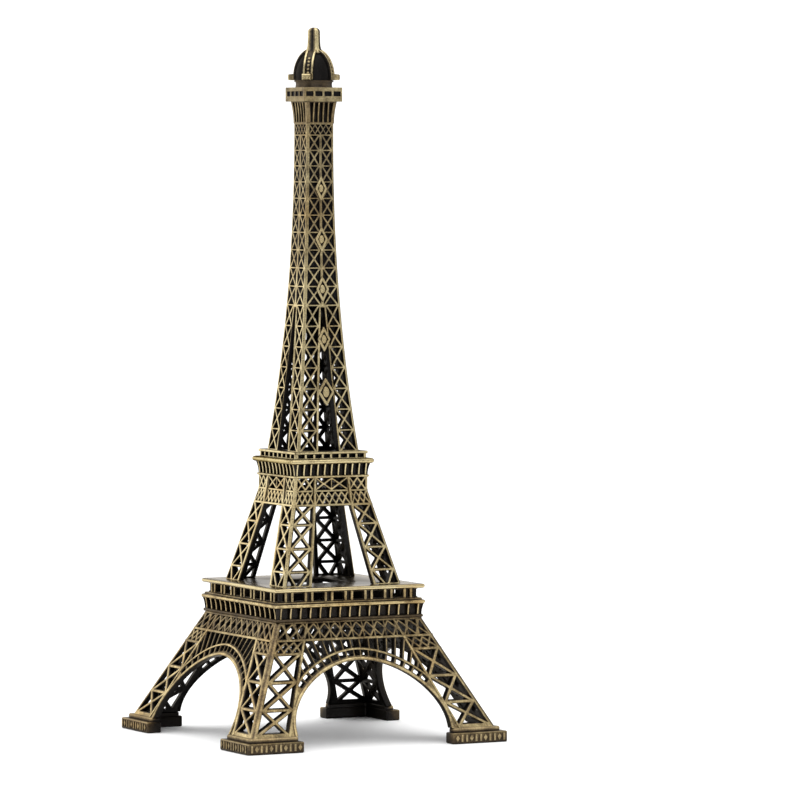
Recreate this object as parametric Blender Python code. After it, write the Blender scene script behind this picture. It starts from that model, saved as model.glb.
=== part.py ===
"""Miniature lattice tower: a hollow souvenir casting on four shoes, 250 mm tall.

Sizes are in millimetres and become Blender's metres in new_object. +Z is up, the origin is on the
ground under the tower's axis, and the front face looks along -Y. Every face of a section is the same
flat casting, so one panel is drawn in its own plane (u across, z up) and turned about the axis.
"""

import math

import bmesh
import bpy
from mathutils import Vector
from mathutils.geometry import delaunay_2d_cdt

MM = 0.001
GAP = 0.3  # clearance between neighbouring pieces
SEAM = 0.21  # set-back of a panel's mitred ends, which leaves GAP between two of them
SIDES = ("front", "right", "back", "left")
CORNERS = ("front_left", "front_right", "back_right", "back_left")

# Levels, from the ground up
PLINTH_STEP = 3.9
PLINTH_TOP = 5.4
SUB_BELT = 32.4
BELT = 36.9
BASE_TOP = 43.0
FRIEZE_TOP = 47.6
LEDGE_TOP = 49.8
COLONNADE_TOP = 53.2
SLAB_TOP = 54.7
MID_BELT = 82.5
MID_UPPER_BELT = 87.4
MID_TOP = 92.2
FRIEZE2_TOP = 96.8
LEDGE2_TOP = 98.6
RAILING_TOP = 101.1
SHAFT_JOIN = 152.3  # above this the two legs of a shaft face share one stile
SHAFT_TOP = 216.2
COLLAR_TOP = 223.9
CABIN_TOP = 228.9
DRUM_TOP = 231.4
DOME_TOP = 242.0
HEIGHT = 250.0

# Shoes
SHOE_OUTER = 51.1
SHOE_INNER = 45.4
SHOE_END = 29.1
SHOE_STEP = 2.0
SHOE_SLOPE = 0.4
SHOE_EDGE = 0.5

# Base faces
BASE_FOOT_HALF = 47.6  # half width at PLINTH_TOP
BASE_SLOPE = 0.507
BASE_DEPTH = 2.2
LEG_INNER_FOOT = 32.7
LEG_INNER_SLOPE = 0.4366
CORNER_STILE = 3.3  # wider than BASE_DEPTH so that the mitre leaves a wall
INNER_STILE = 1.5
LEG_BAR = 1.3
LEG_BRACE = 1.25
LEG_LEVELS = (PLINTH_TOP + 0.6, 14.1, 23.1, SUB_BELT)
BELT_CELLS = 13
BELT_REACH_OVER_STILE = 0.9  # the belt's end diamonds come this far over the corner stiles
SUB_BELT_CELLS = 3
SUB_BELT_BAR = 0.6
SUB_BELT_SHIFT = 0.6  # in cells, from the inner stile to the middle of the first diamond
DIAMOND_FRAME = 0.8

# Arch
ARCH_HALF_SPAN = 30.0
ARCH_SPRING = 7.5
ARCH_RISE = 22.1
ARCH_POWER = 1.8
ARCH_RIM = 1.8
ARCH_RING_IN = 3.1
ARCH_RING_OUT = 4.1
ARCH_CELLS = 14
ARCH_CELLS_REACH = 56.0  # degrees to each side of the crown
ARCH_CELL_BAR = 2.8  # degrees between two cells
SPANDREL_STRUTS = 5
SPANDREL_STRUT = 0.7
SPANDREL_FRAME = 0.6
SMALLEST_WINDOW = 0.4

# Galleries: half widths
FRIEZE_HALF = 28.3
LEDGE_HALF = 29.5
COLONNADE_HALF = 27.0
SLAB_HALF = 29.4
WELL_HALF = 10.0
GALLERY_INNER = 25.3
COLONNADE_BAYS = 7
COLONNADE_POST = 3.2
WINDOW_RAIL = 0.6  # above and below the windows of the colonnade and the railing
CUTTER_OVERSHOOT = 1.0

# Middle section
MID_FOOT_HALF = 23.0
MID_NECK_HALF = 14.35
MID_DEPTH = 1.9
MID_LEG_FOOT = 11.1
MID_LEG_NECK = 9.1
MID_LEVELS = (59.6, 67.5, 75.7, MID_BELT)
MID_STILE = 2.1  # at the corner, wider than MID_DEPTH so that the mitre leaves a wall
MID_BRACE = 1.1
MID_CROWN_BAR = 0.6
MID_BELT_CELLS = 9
MID_UPPER_BELT_CELLS = 6
MID_FOOT_BAR = 0.9
MID_FOOT_NARROWING = 0.28  # share of the leg's width cut off each end of the foot window

# Second gallery: half widths
FRIEZE2_HALF = 14.3
LEDGE2_HALF = 15.9
RAILING_HALF = 14.05
GALLERY2_INNER = 10.2
RAILING_WALL = 1.5
RAILING_WINDOWS = 8
RAILING_POST = 1.2

# Shaft
SHAFT_NECK_HALF = 5.15
SHAFT_NECK_BELOW_TOP = 1.2
SHAFT_FLARE = 6.96
SHAFT_FLARE_HEIGHT = 115.0
SHAFT_FLARE_POWER = 2.15
SHAFT_DEPTH = 0.9
SHAFT_STILE = 1.25
SHAFT_SLOT_FOOT = 4.05
SHAFT_SLOT_SLOPE = 0.0676
SHAFT_INNER_STILE = 0.85
SHAFT_LOWER_ROWS = 7
SHAFT_UPPER_ROWS = 10
SHAFT_LAST_BAR = 212.1
SHAFT_ROW_TAPER = 0.12  # how much lower the last row is than an even one
SHAFT_BAR = 0.9
SHAFT_SLOT_BAR = 1.2  # above the slot
SHAFT_RELIEF = 0.5  # depth of the blind windows above SHAFT_JOIN

# Head
COLLAR_FOOT_HALF = 5.3
COLLAR_HEAD_HALF = 5.95
COLLAR_BORE_HALF = 3.8
COLLAR_STEPS = 4
CABIN_HALF = 7.4
PANES = 4
PANE_PITCH = 3.25
PANE_WIDTH = 2.3
PANE_FOOT = 3.0  # below the cabin's top
PANE_HEAD = 1.4  # below the cabin's top
PANE_DEPTH = 0.7
DRUM_RADIUS = 6.5
DOME_RADIUS = 6.5
DOME_SPRING = 232.5
DOME_CROWN = 242.3  # where the dome's curve would close, inside the finial
RIB_WIDTH = 3.6
RIB_RISE = 0.6
RIB_FOOT = 9.15
RIB_FOOT_HEIGHT = 1.9
RIB_FOOT_SLOPE = 0.5
FINIAL_RADIUS = 1.85
FINIAL_COLLAR = 1.3  # of the rod's radius
FINIAL_COLLAR_HEIGHT = 0.8
FINIAL_COLLAR_SLOPE = 0.5
FINIAL_TIP_RADIUS = 0.3
TURN_STEPS = 24

BRONZE = (0.36, 0.27, 0.13)
DARK_BRONZE = (0.11, 0.085, 0.05)
BLACK_PATINA = (0.02, 0.018, 0.015)


# ---------------------------------------------------------------- outlines


def base_half(z):
    return BASE_FOOT_HALF - BASE_SLOPE * (z - PLINTH_TOP)


def leg_inner(z):
    return LEG_INNER_FOOT - LEG_INNER_SLOPE * (z - PLINTH_TOP)


def mid_half(z):
    if z >= MID_UPPER_BELT:
        return MID_NECK_HALF
    share = (z - SLAB_TOP) / (MID_UPPER_BELT - SLAB_TOP)
    return MID_FOOT_HALF + (MID_NECK_HALF - MID_FOOT_HALF) * share


def mid_leg_inner(z):
    share = (z - SLAB_TOP) / (MID_BELT - SLAB_TOP)
    return mid_half(z) - (MID_LEG_FOOT + (MID_LEG_NECK - MID_LEG_FOOT) * share)


def shaft_half(z):
    share = max(0.0, (SHAFT_TOP - SHAFT_NECK_BELOW_TOP - z) / SHAFT_FLARE_HEIGHT)
    return SHAFT_NECK_HALF + SHAFT_FLARE * share**SHAFT_FLARE_POWER


def shaft_inner(z):
    """Where a lattice column of the shaft ends towards the middle of the face."""
    slot = SHAFT_SLOT_FOOT - SHAFT_SLOT_SLOPE * (z - RAILING_TOP)
    return SHAFT_INNER_STILE + (slot if z < SHAFT_JOIN else 0.0)


def arch_point(angle, offset):
    """A point of the arch, angle from its crown, offset outwards from the inner edge."""
    share = 2.0 / ARCH_POWER
    across = math.copysign(abs(math.sin(angle)) ** share, angle)
    up = math.cos(angle) ** share
    return ((ARCH_HALF_SPAN + offset) * across, ARCH_SPRING + (ARCH_RISE + offset) * up)


def arch_height(u, offset):
    """Height of the arch curve above a point at u across."""
    share = min(1.0, abs(u) / (ARCH_HALF_SPAN + offset))
    return ARCH_SPRING + (ARCH_RISE + offset) * (1.0 - share**ARCH_POWER) ** (1.0 / ARCH_POWER)


def arch_outer_offset(angle):
    """Offset of a ring cell's outer side: the outer ring, or the leg's inner stile where that is nearer."""
    low, high = 0.0, ARCH_RING_IN
    u, z = arch_point(angle, high)
    if abs(u) <= leg_inner(z):
        return high
    for _ in range(30):
        middle = (low + high) / 2
        u, z = arch_point(angle, middle)
        if abs(u) <= leg_inner(z):
            low = middle
        else:
            high = middle
    return low


# ---------------------------------------------------------------- windows of a panel


def inset(points, gaps):
    """The polygon with each side moved inwards by its gap; points run anticlockwise."""
    lines = []
    for (x0, y0), (x1, y1), gap in zip(points, points[1:] + points[:1], gaps):
        length = math.hypot(x1 - x0, y1 - y0)
        nx, ny = -(y1 - y0) / length, (x1 - x0) / length
        lines.append((nx, ny, nx * x0 + ny * y0 + gap))
    corners = []
    for (a0, b0, c0), (a1, b1, c1) in zip(lines[-1:] + lines[:-1], lines):
        scale = a0 * b1 - a1 * b0
        corners.append(((c0 * b1 - c1 * b0) / scale, (a0 * c1 - a1 * c0) / scale))
    return corners


def crossing(corners):
    """Where the diagonals of a four-sided cell meet."""
    (x0, y0), (x1, y1), (x2, y2), (x3, y3) = corners
    scale = (x2 - x0) * (y3 - y1) - (y2 - y0) * (x3 - x1)
    share = ((x1 - x0) * (y3 - y1) - (y1 - y0) * (x3 - x1)) / scale
    return (x0 + share * (x2 - x0), y0 + share * (y2 - y0))


def braced_cell(corners, bar, brace):
    """Four windows that leave an X of braces in a cell between two stiles and two bars."""
    middle = crossing(corners)
    found = []
    for i, gap in enumerate((bar / 2, 0.0, bar / 2, 0.0)):
        triangle = [corners[i], corners[(i + 1) % 4], middle]
        found.append(inset(triangle, (gap, brace / 2, brace / 2)))
    return found


def diamond(centre, half_width, half_height):
    u, z = centre
    return [(u, z - half_height), (u + half_width, z), (u, z + half_height), (u - half_width, z)]


def mirrored(polygon):
    return [(-u, z) for u, z in reversed(polygon)]


def both_sides(polygons):
    return polygons + [mirrored(p) for p in polygons]


def cell(inner, outer, low, high, stiles):
    """Corners of the cell between two edges that are functions of height."""
    near, far = stiles
    return [
        (inner(low) + near, low),
        (outer(low) - far, low),
        (outer(high) - far, high),
        (inner(high) + near, high),
    ]


def diamond_row(half, low, high, count, frame):
    """A row of diamonds between two levels, from one half width to its mirror."""
    middle = (low + high) / 2
    pitch = 2 * half / count
    half_height = (high - low) / 2 - frame
    places = [-half + pitch * (i + 0.5) for i in range(count)]
    return [diamond((u, middle), pitch / 2 - frame / 2, half_height) for u in places]


# ---------------------------------------------------------------- solids


def material(name, colour, roughness, metallic):
    made = bpy.data.materials.new(name)
    made.use_nodes = True
    shader = made.node_tree.nodes["Principled BSDF"]
    shader.inputs["Base Color"].default_value = (*colour, 1.0)
    shader.inputs["Roughness"].default_value = roughness
    shader.inputs["Metallic"].default_value = metallic
    made.diffuse_color = (*colour, 1.0)
    return made


def new_object(name, mesh, colour, roughness=0.45, metallic=0.9, turn=0):
    """An object of a mesh in millimetres, turned by quarter turns about the tower's axis."""
    made = bpy.data.objects.new(name, mesh)
    bpy.context.scene.collection.objects.link(made)
    made.rotation_euler.z = turn * math.pi / 2
    mesh.materials.append(material(name + "_finish", colour, roughness, metallic))
    return made


def mesh_of(name, points, faces):
    mesh = bpy.data.meshes.new(name)
    mesh.from_pydata([Vector(p) * MM for p in points], [], faces)
    mesh.update()
    return mesh


def inside(point, polygon):
    """Even-odd test."""
    x, y = point
    odd = False
    for (x0, y0), (x1, y1) in zip(polygon, polygon[1:] + polygon[:1]):
        if (y0 > y) != (y1 > y) and x < x0 + (y - y0) * (x1 - x0) / (y1 - y0):
            odd = not odd
    return odd


def filled(outline, windows, recesses, folds):
    """Points and triangles of the plate and of the recesses in it; folds are lines that they follow."""
    points = []
    edges = []
    for loop in [outline, *windows, *recesses]:
        first = len(points)
        points += [Vector(p) for p in loop]
        edges += [(first + i, first + (i + 1) % len(loop)) for i in range(len(loop))]
    for start, end in folds:
        edges.append((len(points), len(points) + 1))
        points += [Vector(start), Vector(end)]
    verts, _, faces, *_ = delaunay_2d_cdt(points, edges, [], 0, 1e-4, False)
    plate, floors = [], []
    for face in faces:
        centre = sum((verts[i] for i in face), Vector((0, 0))) / len(face)
        if not inside(centre, outline) or any(inside(centre, w) for w in windows):
            continue
        sunk = any(inside(centre, r) for r in recesses)
        (floors if sunk else plate).append(tuple(face))
    return verts, plate, floors


def border(faces):
    """The directed edges that have a face on one side only."""
    ways = {(f[i], f[(i + 1) % len(f)]) for f in faces for i in range(len(f))}
    return [(a, b) for a, b in ways if (b, a) not in ways]


def panel(name, outline, windows, half, depth, recesses=(), sink=0.0, folds=()):
    """A plate on a tower face: its outer side follows half(z), and its two ends are mitred at 45 degrees.

    Windows go right through. Recesses are sunk by a depth of sink and keep a floor.
    """
    verts, plate, floors = filled(outline, windows, recesses, folds)
    points = []
    for layer in (0.0, sink, depth):
        for u, z in verts:
            edge = half(z) - SEAM
            end = abs(u) > edge - 1e-3
            points.append((math.copysign(edge - layer, u) if end else u, layer - half(z), z))
    floor, back = len(verts), 2 * len(verts)
    loops = plate + [tuple(i + floor for i in f) for f in floors]
    loops += [tuple(i + back for i in reversed(f)) for f in plate + floors]
    loops += [(b, a, a + back, b + back) for a, b in border(plate + floors)]
    loops += [(a, b, b + floor, a + floor) for a, b in border(floors)]
    mesh = mesh_of(name, points, loops)
    body = bmesh.new()
    body.from_mesh(mesh)
    bmesh.ops.delete(body, geom=[v for v in body.verts if not v.link_faces], context="VERTS")
    body.to_mesh(mesh)
    body.free()
    return mesh


def square_ring(name, section):
    """A closed section of (half width, height) points carried round a square with mitred corners."""
    points = []
    for turn_x, turn_y in ((-1, -1), (1, -1), (1, 1), (-1, 1)):
        points += [(turn_x * half, turn_y * half, z) for half, z in section]
    count = len(section)
    faces = []
    for side in range(4):
        near, far = side * count, (side + 1) % 4 * count
        for i in range(count):
            j = (i + 1) % count
            faces.append((near + i, far + i, far + j, near + j))
    return mesh_of(name, points, faces)


def round_edge(half, low, high, radius, steps=3):
    """Outer side of a section with two rounded edges, from the bottom up."""
    points = []
    for centre, start in ((low + radius, -90.0), (high - radius, 0.0)):
        for i in range(steps + 1):
            angle = math.radians(start + 90.0 * i / steps)
            points.append((half - radius + radius * math.cos(angle), centre + radius * math.sin(angle)))
    return points


def moulded_ring(name, half, inner, low, high, radius):
    low += GAP / 2
    high -= GAP / 2
    return square_ring(name, round_edge(half, low, high, radius) + [(inner, high), (inner, low)])


def turned(name, profile, steps=TURN_STEPS):
    """A solid of revolution from (radius, height) points, bottom to top, closed by flat ends."""
    points = []
    for radius, z in profile:
        for i in range(steps):
            angle = 2 * math.pi * i / steps
            points.append((radius * math.cos(angle), radius * math.sin(angle), z))
    faces = [tuple(reversed(range(steps)))]
    for ring in range(len(profile) - 1):
        for i in range(steps):
            j = (i + 1) % steps
            a, b = ring * steps, (ring + 1) * steps
            faces.append((a + i, a + j, b + j, b + i))
    faces.append(tuple((len(profile) - 1) * steps + i for i in range(steps)))
    mesh = mesh_of(name, points, faces)
    mesh.shade_smooth()
    mesh.set_sharp_from_angle(angle=math.radians(35))
    return mesh


def boxes(name, places):
    """One mesh of separate boxes, each given by its lowest and highest corner."""
    body = bmesh.new()
    for low, high in places:
        made = bmesh.ops.create_cube(body, size=1.0)["verts"]
        for vert in made:
            for axis in range(3):
                middle = (low[axis] + high[axis]) / 2
                vert.co[axis] = (middle + vert.co[axis] * (high[axis] - low[axis])) * MM
    mesh = bpy.data.meshes.new(name)
    body.to_mesh(mesh)
    body.free()
    return mesh


def cut(target, name, places):
    """Cuts boxes that don't touch each other out of an object."""
    cutter = bpy.data.objects.new(name, boxes(name, places))
    bpy.context.scene.collection.objects.link(cutter)
    cutter.hide_render = True
    cutter.display_type = "WIRE"
    change = target.modifiers.new(name, "BOOLEAN")
    change.operation = "DIFFERENCE"
    change.object = cutter


def window_row(count, pitch, width, reach, low, high, along_x):
    """Boxes for a row of windows, long enough to pass through two opposite walls."""
    found = []
    for i in range(count):
        middle = (i - (count - 1) / 2) * pitch
        near, far = middle - width / 2, middle + width / 2
        if along_x:
            found.append(((near, -reach, low), (far, reach, high)))
        else:
            found.append(((-reach, near, low), (reach, far, high)))
    return found


# ---------------------------------------------------------------- shoes


def shoe_outline(outer, inner, end):
    """An L in plan, with its outer corner towards -X and -Y."""
    near = [(-outer, -outer), (-end, -outer), (-end, -inner)]
    return near + [(-inner, -inner), (-inner, -end), (-outer, -end)]


def shoe_mesh():
    """An L-shaped block with a set-back upper step, under one leg."""
    body = bmesh.new()
    plinth = shoe_outline(SHOE_OUTER, SHOE_INNER, SHOE_END)
    tread = shoe_outline(SHOE_OUTER - SHOE_STEP, SHOE_INNER, SHOE_END + SHOE_STEP / 2)
    levels = (0.0, PLINTH_STEP, PLINTH_STEP + SHOE_SLOPE, PLINTH_TOP - GAP / 2)
    rings = list(zip((plinth, plinth, tread, tread), levels))
    loops = [[body.verts.new((x * MM, y * MM, z * MM)) for x, y in ring] for ring, z in rings]
    body.faces.new(list(reversed(loops[0])))
    body.faces.new(loops[-1])
    for lower, upper in zip(loops, loops[1:]):
        for i in range(len(lower)):
            j = (i + 1) % len(lower)
            body.faces.new((lower[i], lower[j], upper[j], upper[i]))
    mesh = bpy.data.meshes.new("shoe")
    body.to_mesh(mesh)
    body.free()
    return mesh


def make_shoes():
    for turn, corner in enumerate(CORNERS):
        shoe = new_object("shoe_" + corner, shoe_mesh(), DARK_BRONZE, turn=turn)
        bevel = shoe.modifiers.new("soft_edges", "BEVEL")
        bevel.width = SHOE_EDGE * MM
        bevel.segments = 1
        bevel.limit_method = "ANGLE"


# ---------------------------------------------------------------- base


def base_outline():
    low = PLINTH_TOP + GAP / 2
    high = BASE_TOP - GAP / 2
    steps = 20
    arch = [arch_point(math.pi / 2 * (1 - 2 * i / steps), 0.0) for i in range(steps + 1)]
    ends = base_half(low) - SEAM, base_half(high) - SEAM
    return [(ARCH_HALF_SPAN, low), (ends[0], low), (ends[1], high), (-ends[1], high), (-ends[0], low),
            (-ARCH_HALF_SPAN, low)] + [(-u, z) for u, z in arch]


def leg_windows():
    found = []
    for low, high in zip(LEG_LEVELS, LEG_LEVELS[1:]):
        corners = cell(leg_inner, base_half, low, high, (INNER_STILE, CORNER_STILE))
        found += braced_cell(corners, LEG_BAR, LEG_BRACE)
    inner, outer = leg_inner(BELT) + INNER_STILE, base_half(BELT) - CORNER_STILE
    pitch = (outer - inner) / SUB_BELT_CELLS
    for i in range(SUB_BELT_CELLS):
        centre = (inner + pitch * (i + SUB_BELT_SHIFT), (SUB_BELT + BELT) / 2)
        found.append(diamond(centre, (pitch - SUB_BELT_BAR) / 2, (BELT - SUB_BELT) / 2 - DIAMOND_FRAME))
    return both_sides(found)


def arch_windows():
    """The cells between the arch's two rings."""
    found = []
    reach = math.radians(ARCH_CELLS_REACH)
    bar = math.radians(ARCH_CELL_BAR / 2)
    for i in range(ARCH_CELLS):
        start = -reach + 2 * reach * i / ARCH_CELLS + bar
        end = -reach + 2 * reach * (i + 1) / ARCH_CELLS - bar
        outer_start, outer_end = arch_outer_offset(start), arch_outer_offset(end)
        if min(outer_start, outer_end) - ARCH_RIM < SMALLEST_WINDOW:
            continue
        found.append([arch_point(end, ARCH_RIM), arch_point(end, outer_end),
                      arch_point(start, outer_start), arch_point(start, ARCH_RIM)])
    return [window if area(window) > 0 else window[::-1] for window in found]


def area(polygon):
    pairs = zip(polygon, polygon[1:] + polygon[:1])
    return sum(x0 * y1 - x1 * y0 for (x0, y0), (x1, y1) in pairs) / 2


def spandrel_windows():
    """The tall gaps between the arch's outer ring, the belt and the leg."""
    found = []
    top = BELT - SPANDREL_FRAME
    limit = leg_inner(top) - SPANDREL_FRAME
    pitch = limit / SPANDREL_STRUTS
    for i in range(1, SPANDREL_STRUTS):
        near, far = pitch * i + SPANDREL_STRUT / 2, pitch * (i + 1) - SPANDREL_STRUT / 2
        low_near, low_far = arch_height(near, ARCH_RING_OUT), arch_height(far, ARCH_RING_OUT)
        if top - low_near > 2 * SMALLEST_WINDOW:
            found.append([(near, low_near), (far, low_far), (far, top), (near, top)])
    return both_sides(found)


def make_base():
    belt_half = base_half(BASE_TOP) - CORNER_STILE + BELT_REACH_OVER_STILE
    belt = diamond_row(belt_half, BELT, BASE_TOP - DIAMOND_FRAME, BELT_CELLS, DIAMOND_FRAME)
    windows = leg_windows() + arch_windows() + spandrel_windows() + belt
    for turn, side in enumerate(SIDES):
        mesh = panel("base_panel", base_outline(), windows, base_half, BASE_DEPTH)
        new_object("base_panel_" + side, mesh, BRONZE, turn=turn)


# ---------------------------------------------------------------- first gallery


def make_first_gallery():
    frieze = moulded_ring("frieze", FRIEZE_HALF, GALLERY_INNER, BASE_TOP, FRIEZE_TOP, 0.4)
    new_object("first_frieze", frieze, DARK_BRONZE)
    ledge = moulded_ring("ledge", LEDGE_HALF, GALLERY_INNER, FRIEZE_TOP, LEDGE_TOP, 0.6)
    new_object("first_gallery_ledge", ledge, BRONZE)
    wall = moulded_ring("colonnade", COLONNADE_HALF, GALLERY_INNER, LEDGE_TOP, COLONNADE_TOP, 0.1)
    colonnade = new_object("first_colonnade", wall, BRONZE)
    pitch = 2 * COLONNADE_HALF / (COLONNADE_BAYS - 0.2)
    for along_x in (True, False):
        reach = COLONNADE_HALF + CUTTER_OVERSHOOT
        row = window_row(COLONNADE_BAYS - 1, pitch, pitch - COLONNADE_POST, reach,
                         LEDGE_TOP + WINDOW_RAIL, COLONNADE_TOP - WINDOW_RAIL, along_x)
        cut(colonnade, "bays_" + ("y" if along_x else "x"), row)
    slab = moulded_ring("slab", SLAB_HALF, WELL_HALF, COLONNADE_TOP, SLAB_TOP, 0.5)
    new_object("first_platform", slab, BRONZE)


# ---------------------------------------------------------------- middle section


def mid_outline():
    low = SLAB_TOP + GAP / 2
    high = MID_TOP - GAP / 2
    crown = MID_BELT - MID_CROWN_BAR
    right = [(mid_leg_inner(low), low), (mid_half(low) - SEAM, low),
             (mid_half(MID_UPPER_BELT) - SEAM, MID_UPPER_BELT), (mid_half(high) - SEAM, high)]
    return right + mirrored(right) + [(-mid_leg_inner(crown), crown), (mid_leg_inner(crown), crown)]


def mid_foot_window():
    """The upper window of the cell that the platform cuts off."""
    low, high = SLAB_TOP + MID_FOOT_BAR, MID_LEVELS[0] - MID_BRACE / 2
    corners = cell(mid_leg_inner, mid_half, low, high, (INNER_STILE, MID_STILE))
    narrow = MID_FOOT_NARROWING * (corners[1][0] - corners[0][0])
    return [(corners[0][0] + narrow, low), (corners[1][0] - narrow, low), corners[2], corners[3]]


def make_middle():
    windows = []
    for low, high in zip(MID_LEVELS, MID_LEVELS[1:]):
        corners = cell(mid_leg_inner, mid_half, low, high, (INNER_STILE, MID_STILE))
        windows += braced_cell(corners, MID_BRACE, MID_BRACE)
    windows.append(mid_foot_window())
    windows = both_sides(windows)
    reach = MID_NECK_HALF - MID_STILE
    windows += diamond_row(reach, MID_BELT, MID_UPPER_BELT, MID_BELT_CELLS, DIAMOND_FRAME)
    windows += diamond_row(reach, MID_UPPER_BELT, MID_TOP, MID_UPPER_BELT_CELLS, DIAMOND_FRAME)
    neck = mid_half(MID_UPPER_BELT) - SEAM
    fold = ((-neck, MID_UPPER_BELT), (neck, MID_UPPER_BELT))
    for turn, side in enumerate(SIDES):
        mesh = panel("middle_panel", mid_outline(), windows, mid_half, MID_DEPTH, folds=(fold,))
        new_object("middle_panel_" + side, mesh, BRONZE, turn=turn)


# ---------------------------------------------------------------- second gallery


def make_second_gallery():
    frieze = moulded_ring("frieze2", FRIEZE2_HALF, GALLERY2_INNER, MID_TOP, FRIEZE2_TOP, 0.3)
    new_object("second_frieze", frieze, DARK_BRONZE)
    ledge = moulded_ring("ledge2", LEDGE2_HALF, GALLERY2_INNER, FRIEZE2_TOP, LEDGE2_TOP, 0.7)
    new_object("second_gallery_ledge", ledge, BRONZE)
    make_railing()


def make_railing():
    low, high, edge = LEDGE2_TOP + GAP / 2, RAILING_TOP - GAP / 2, RAILING_HALF - SEAM
    outline = [(-edge, low), (edge, low), (edge, high), (-edge, high)]
    pitch = 2 * RAILING_HALF / (RAILING_WINDOWS + 1)
    sill, head = LEDGE2_TOP + WINDOW_RAIL, RAILING_TOP - WINDOW_RAIL
    windows = []
    for i in range(RAILING_WINDOWS):
        middle = (i - (RAILING_WINDOWS - 1) / 2) * pitch
        near, far = middle - (pitch - RAILING_POST) / 2, middle + (pitch - RAILING_POST) / 2
        windows.append([(near, sill), (far, sill), (far, head), (near, head)])
    for turn, side in enumerate(SIDES):
        mesh = panel("railing", outline, windows, lambda z: RAILING_HALF, RAILING_WALL)
        new_object("second_railing_" + side, mesh, BRONZE, turn=turn)


# ---------------------------------------------------------------- shaft


def shaft_levels():
    """Heights of the shaft's bars; the rows get lower towards the top."""
    row = (SHAFT_JOIN - RAILING_TOP) / SHAFT_LOWER_ROWS
    lower = [RAILING_TOP + row * i for i in range(SHAFT_LOWER_ROWS)]
    rise = SHAFT_LAST_BAR - SHAFT_JOIN
    upper = []
    for i in range(SHAFT_UPPER_ROWS + 1):
        share = i / SHAFT_UPPER_ROWS
        upper.append(SHAFT_JOIN + rise * share * (1 + SHAFT_ROW_TAPER * (1 - share)))
    return lower + upper


def shaft_lattice():
    """One diamond for each cell of the shaft's two columns, from the bottom up."""
    found = []
    levels = shaft_levels()
    for low, high in zip(levels, levels[1:]):
        middle = (low + high) / 2
        inner, outer = shaft_inner(middle), shaft_half(high) - SHAFT_STILE
        centre = ((inner + outer) / 2, middle)
        found.append(diamond(centre, (outer - inner) / 2, (high - low - SHAFT_BAR) / 2))
    return found


def shaft_slot():
    """The tapering gap between the two legs of a shaft face."""
    top = SHAFT_JOIN - SHAFT_SLOT_BAR
    near, far = shaft_inner(RAILING_TOP), shaft_inner(top)
    right = [(near - SHAFT_INNER_STILE, RAILING_TOP), (far - SHAFT_INNER_STILE, top)]
    return right + mirrored(right)


def make_shaft():
    low, high = LEDGE2_TOP + GAP / 2, SHAFT_TOP - GAP / 2
    levels = [low] + shaft_levels() + [high]
    right = [(shaft_half(z) - SEAM, z) for z in levels]
    folds = [((-u, z), (u, z)) for u, z in right if z > SHAFT_JOIN - 0.1]
    lattice = shaft_lattice()
    windows = both_sides(lattice[:SHAFT_LOWER_ROWS]) + [shaft_slot()]
    recesses = both_sides(lattice[SHAFT_LOWER_ROWS:])
    for turn, side in enumerate(SIDES):
        mesh = panel("shaft_panel", right + mirrored(right), windows, shaft_half, SHAFT_DEPTH,
                     recesses, SHAFT_RELIEF, folds)
        new_object("shaft_panel_" + side, mesh, BRONZE, turn=turn)


# ---------------------------------------------------------------- head


def make_collar():
    low, high = SHAFT_TOP + GAP / 2, COLLAR_TOP - GAP / 2
    section = []
    for i in range(COLLAR_STEPS + 1):
        share = i / COLLAR_STEPS
        half = COLLAR_FOOT_HALF + (COLLAR_HEAD_HALF - COLLAR_FOOT_HALF) * share**2
        section.append((half, low + (high - low) * share))
    section += [(COLLAR_BORE_HALF, high), (COLLAR_BORE_HALF, low)]
    new_object("top_collar", square_ring("collar", section), DARK_BRONZE)


def make_cabin():
    low, high = COLLAR_TOP + GAP / 2, CABIN_TOP - GAP / 2
    mesh = boxes("cabin", [((-CABIN_HALF, -CABIN_HALF, low), (CABIN_HALF, CABIN_HALF, high))])
    cabin = new_object("top_cabin", mesh, BRONZE)
    for along_x in (True, False):
        for sign in (-1, 1):
            found = []
            for i in range(PANES):
                across = (i - (PANES - 1) / 2) * PANE_PITCH
                near, far = sorted(sign * (CABIN_HALF + d) for d in (-PANE_DEPTH, CUTTER_OVERSHOOT))
                span = (across - PANE_WIDTH / 2, across + PANE_WIDTH / 2)
                x, y = (span, (near, far)) if along_x else ((near, far), span)
                found.append(((x[0], y[0], high - PANE_FOOT), (x[1], y[1], high - PANE_HEAD)))
            cut(cabin, f"panes_{'y' if along_x else 'x'}{'p' if sign > 0 else 'n'}", found)


def dome_arc(steps):
    """(radius, height) points up the dome's quarter ellipse, as far as the finial."""
    rise = DOME_CROWN - DOME_SPRING
    reach = math.asin((DOME_TOP - GAP / 2 - DOME_SPRING) / rise)
    angles = [reach * i / steps for i in range(steps + 1)]
    return [(DOME_RADIUS * math.cos(a), DOME_SPRING + rise * math.sin(a)) for a in angles]


def rib_mesh():
    """A strap over the dome in the plane y = 0, from a block on the drum up to the neck."""
    half = RIB_WIDTH / 2
    foot = DRUM_TOP + GAP / 2
    inner = [(DOME_RADIUS + GAP, foot)] + [(r + GAP, z) for r, z in dome_arc(6)]
    shoulder = foot + RIB_FOOT_HEIGHT
    rise = GAP + RIB_RISE
    outer = [(RIB_FOOT, foot), (RIB_FOOT, shoulder), (DOME_RADIUS + rise, shoulder + RIB_FOOT_SLOPE)]
    outer += [(r + rise, z) for r, z in dome_arc(6)[1:]]
    section = outer + inner[::-1]
    points = [(x, y, z) for y in (-half, half) for x, z in section]
    count = len(section)
    faces = [tuple(range(count)), tuple(reversed(range(count, 2 * count)))]
    for i in range(count):
        j = (i + 1) % count
        faces.append((j, i, i + count, j + count))
    return mesh_of("rib", points, faces)


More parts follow.
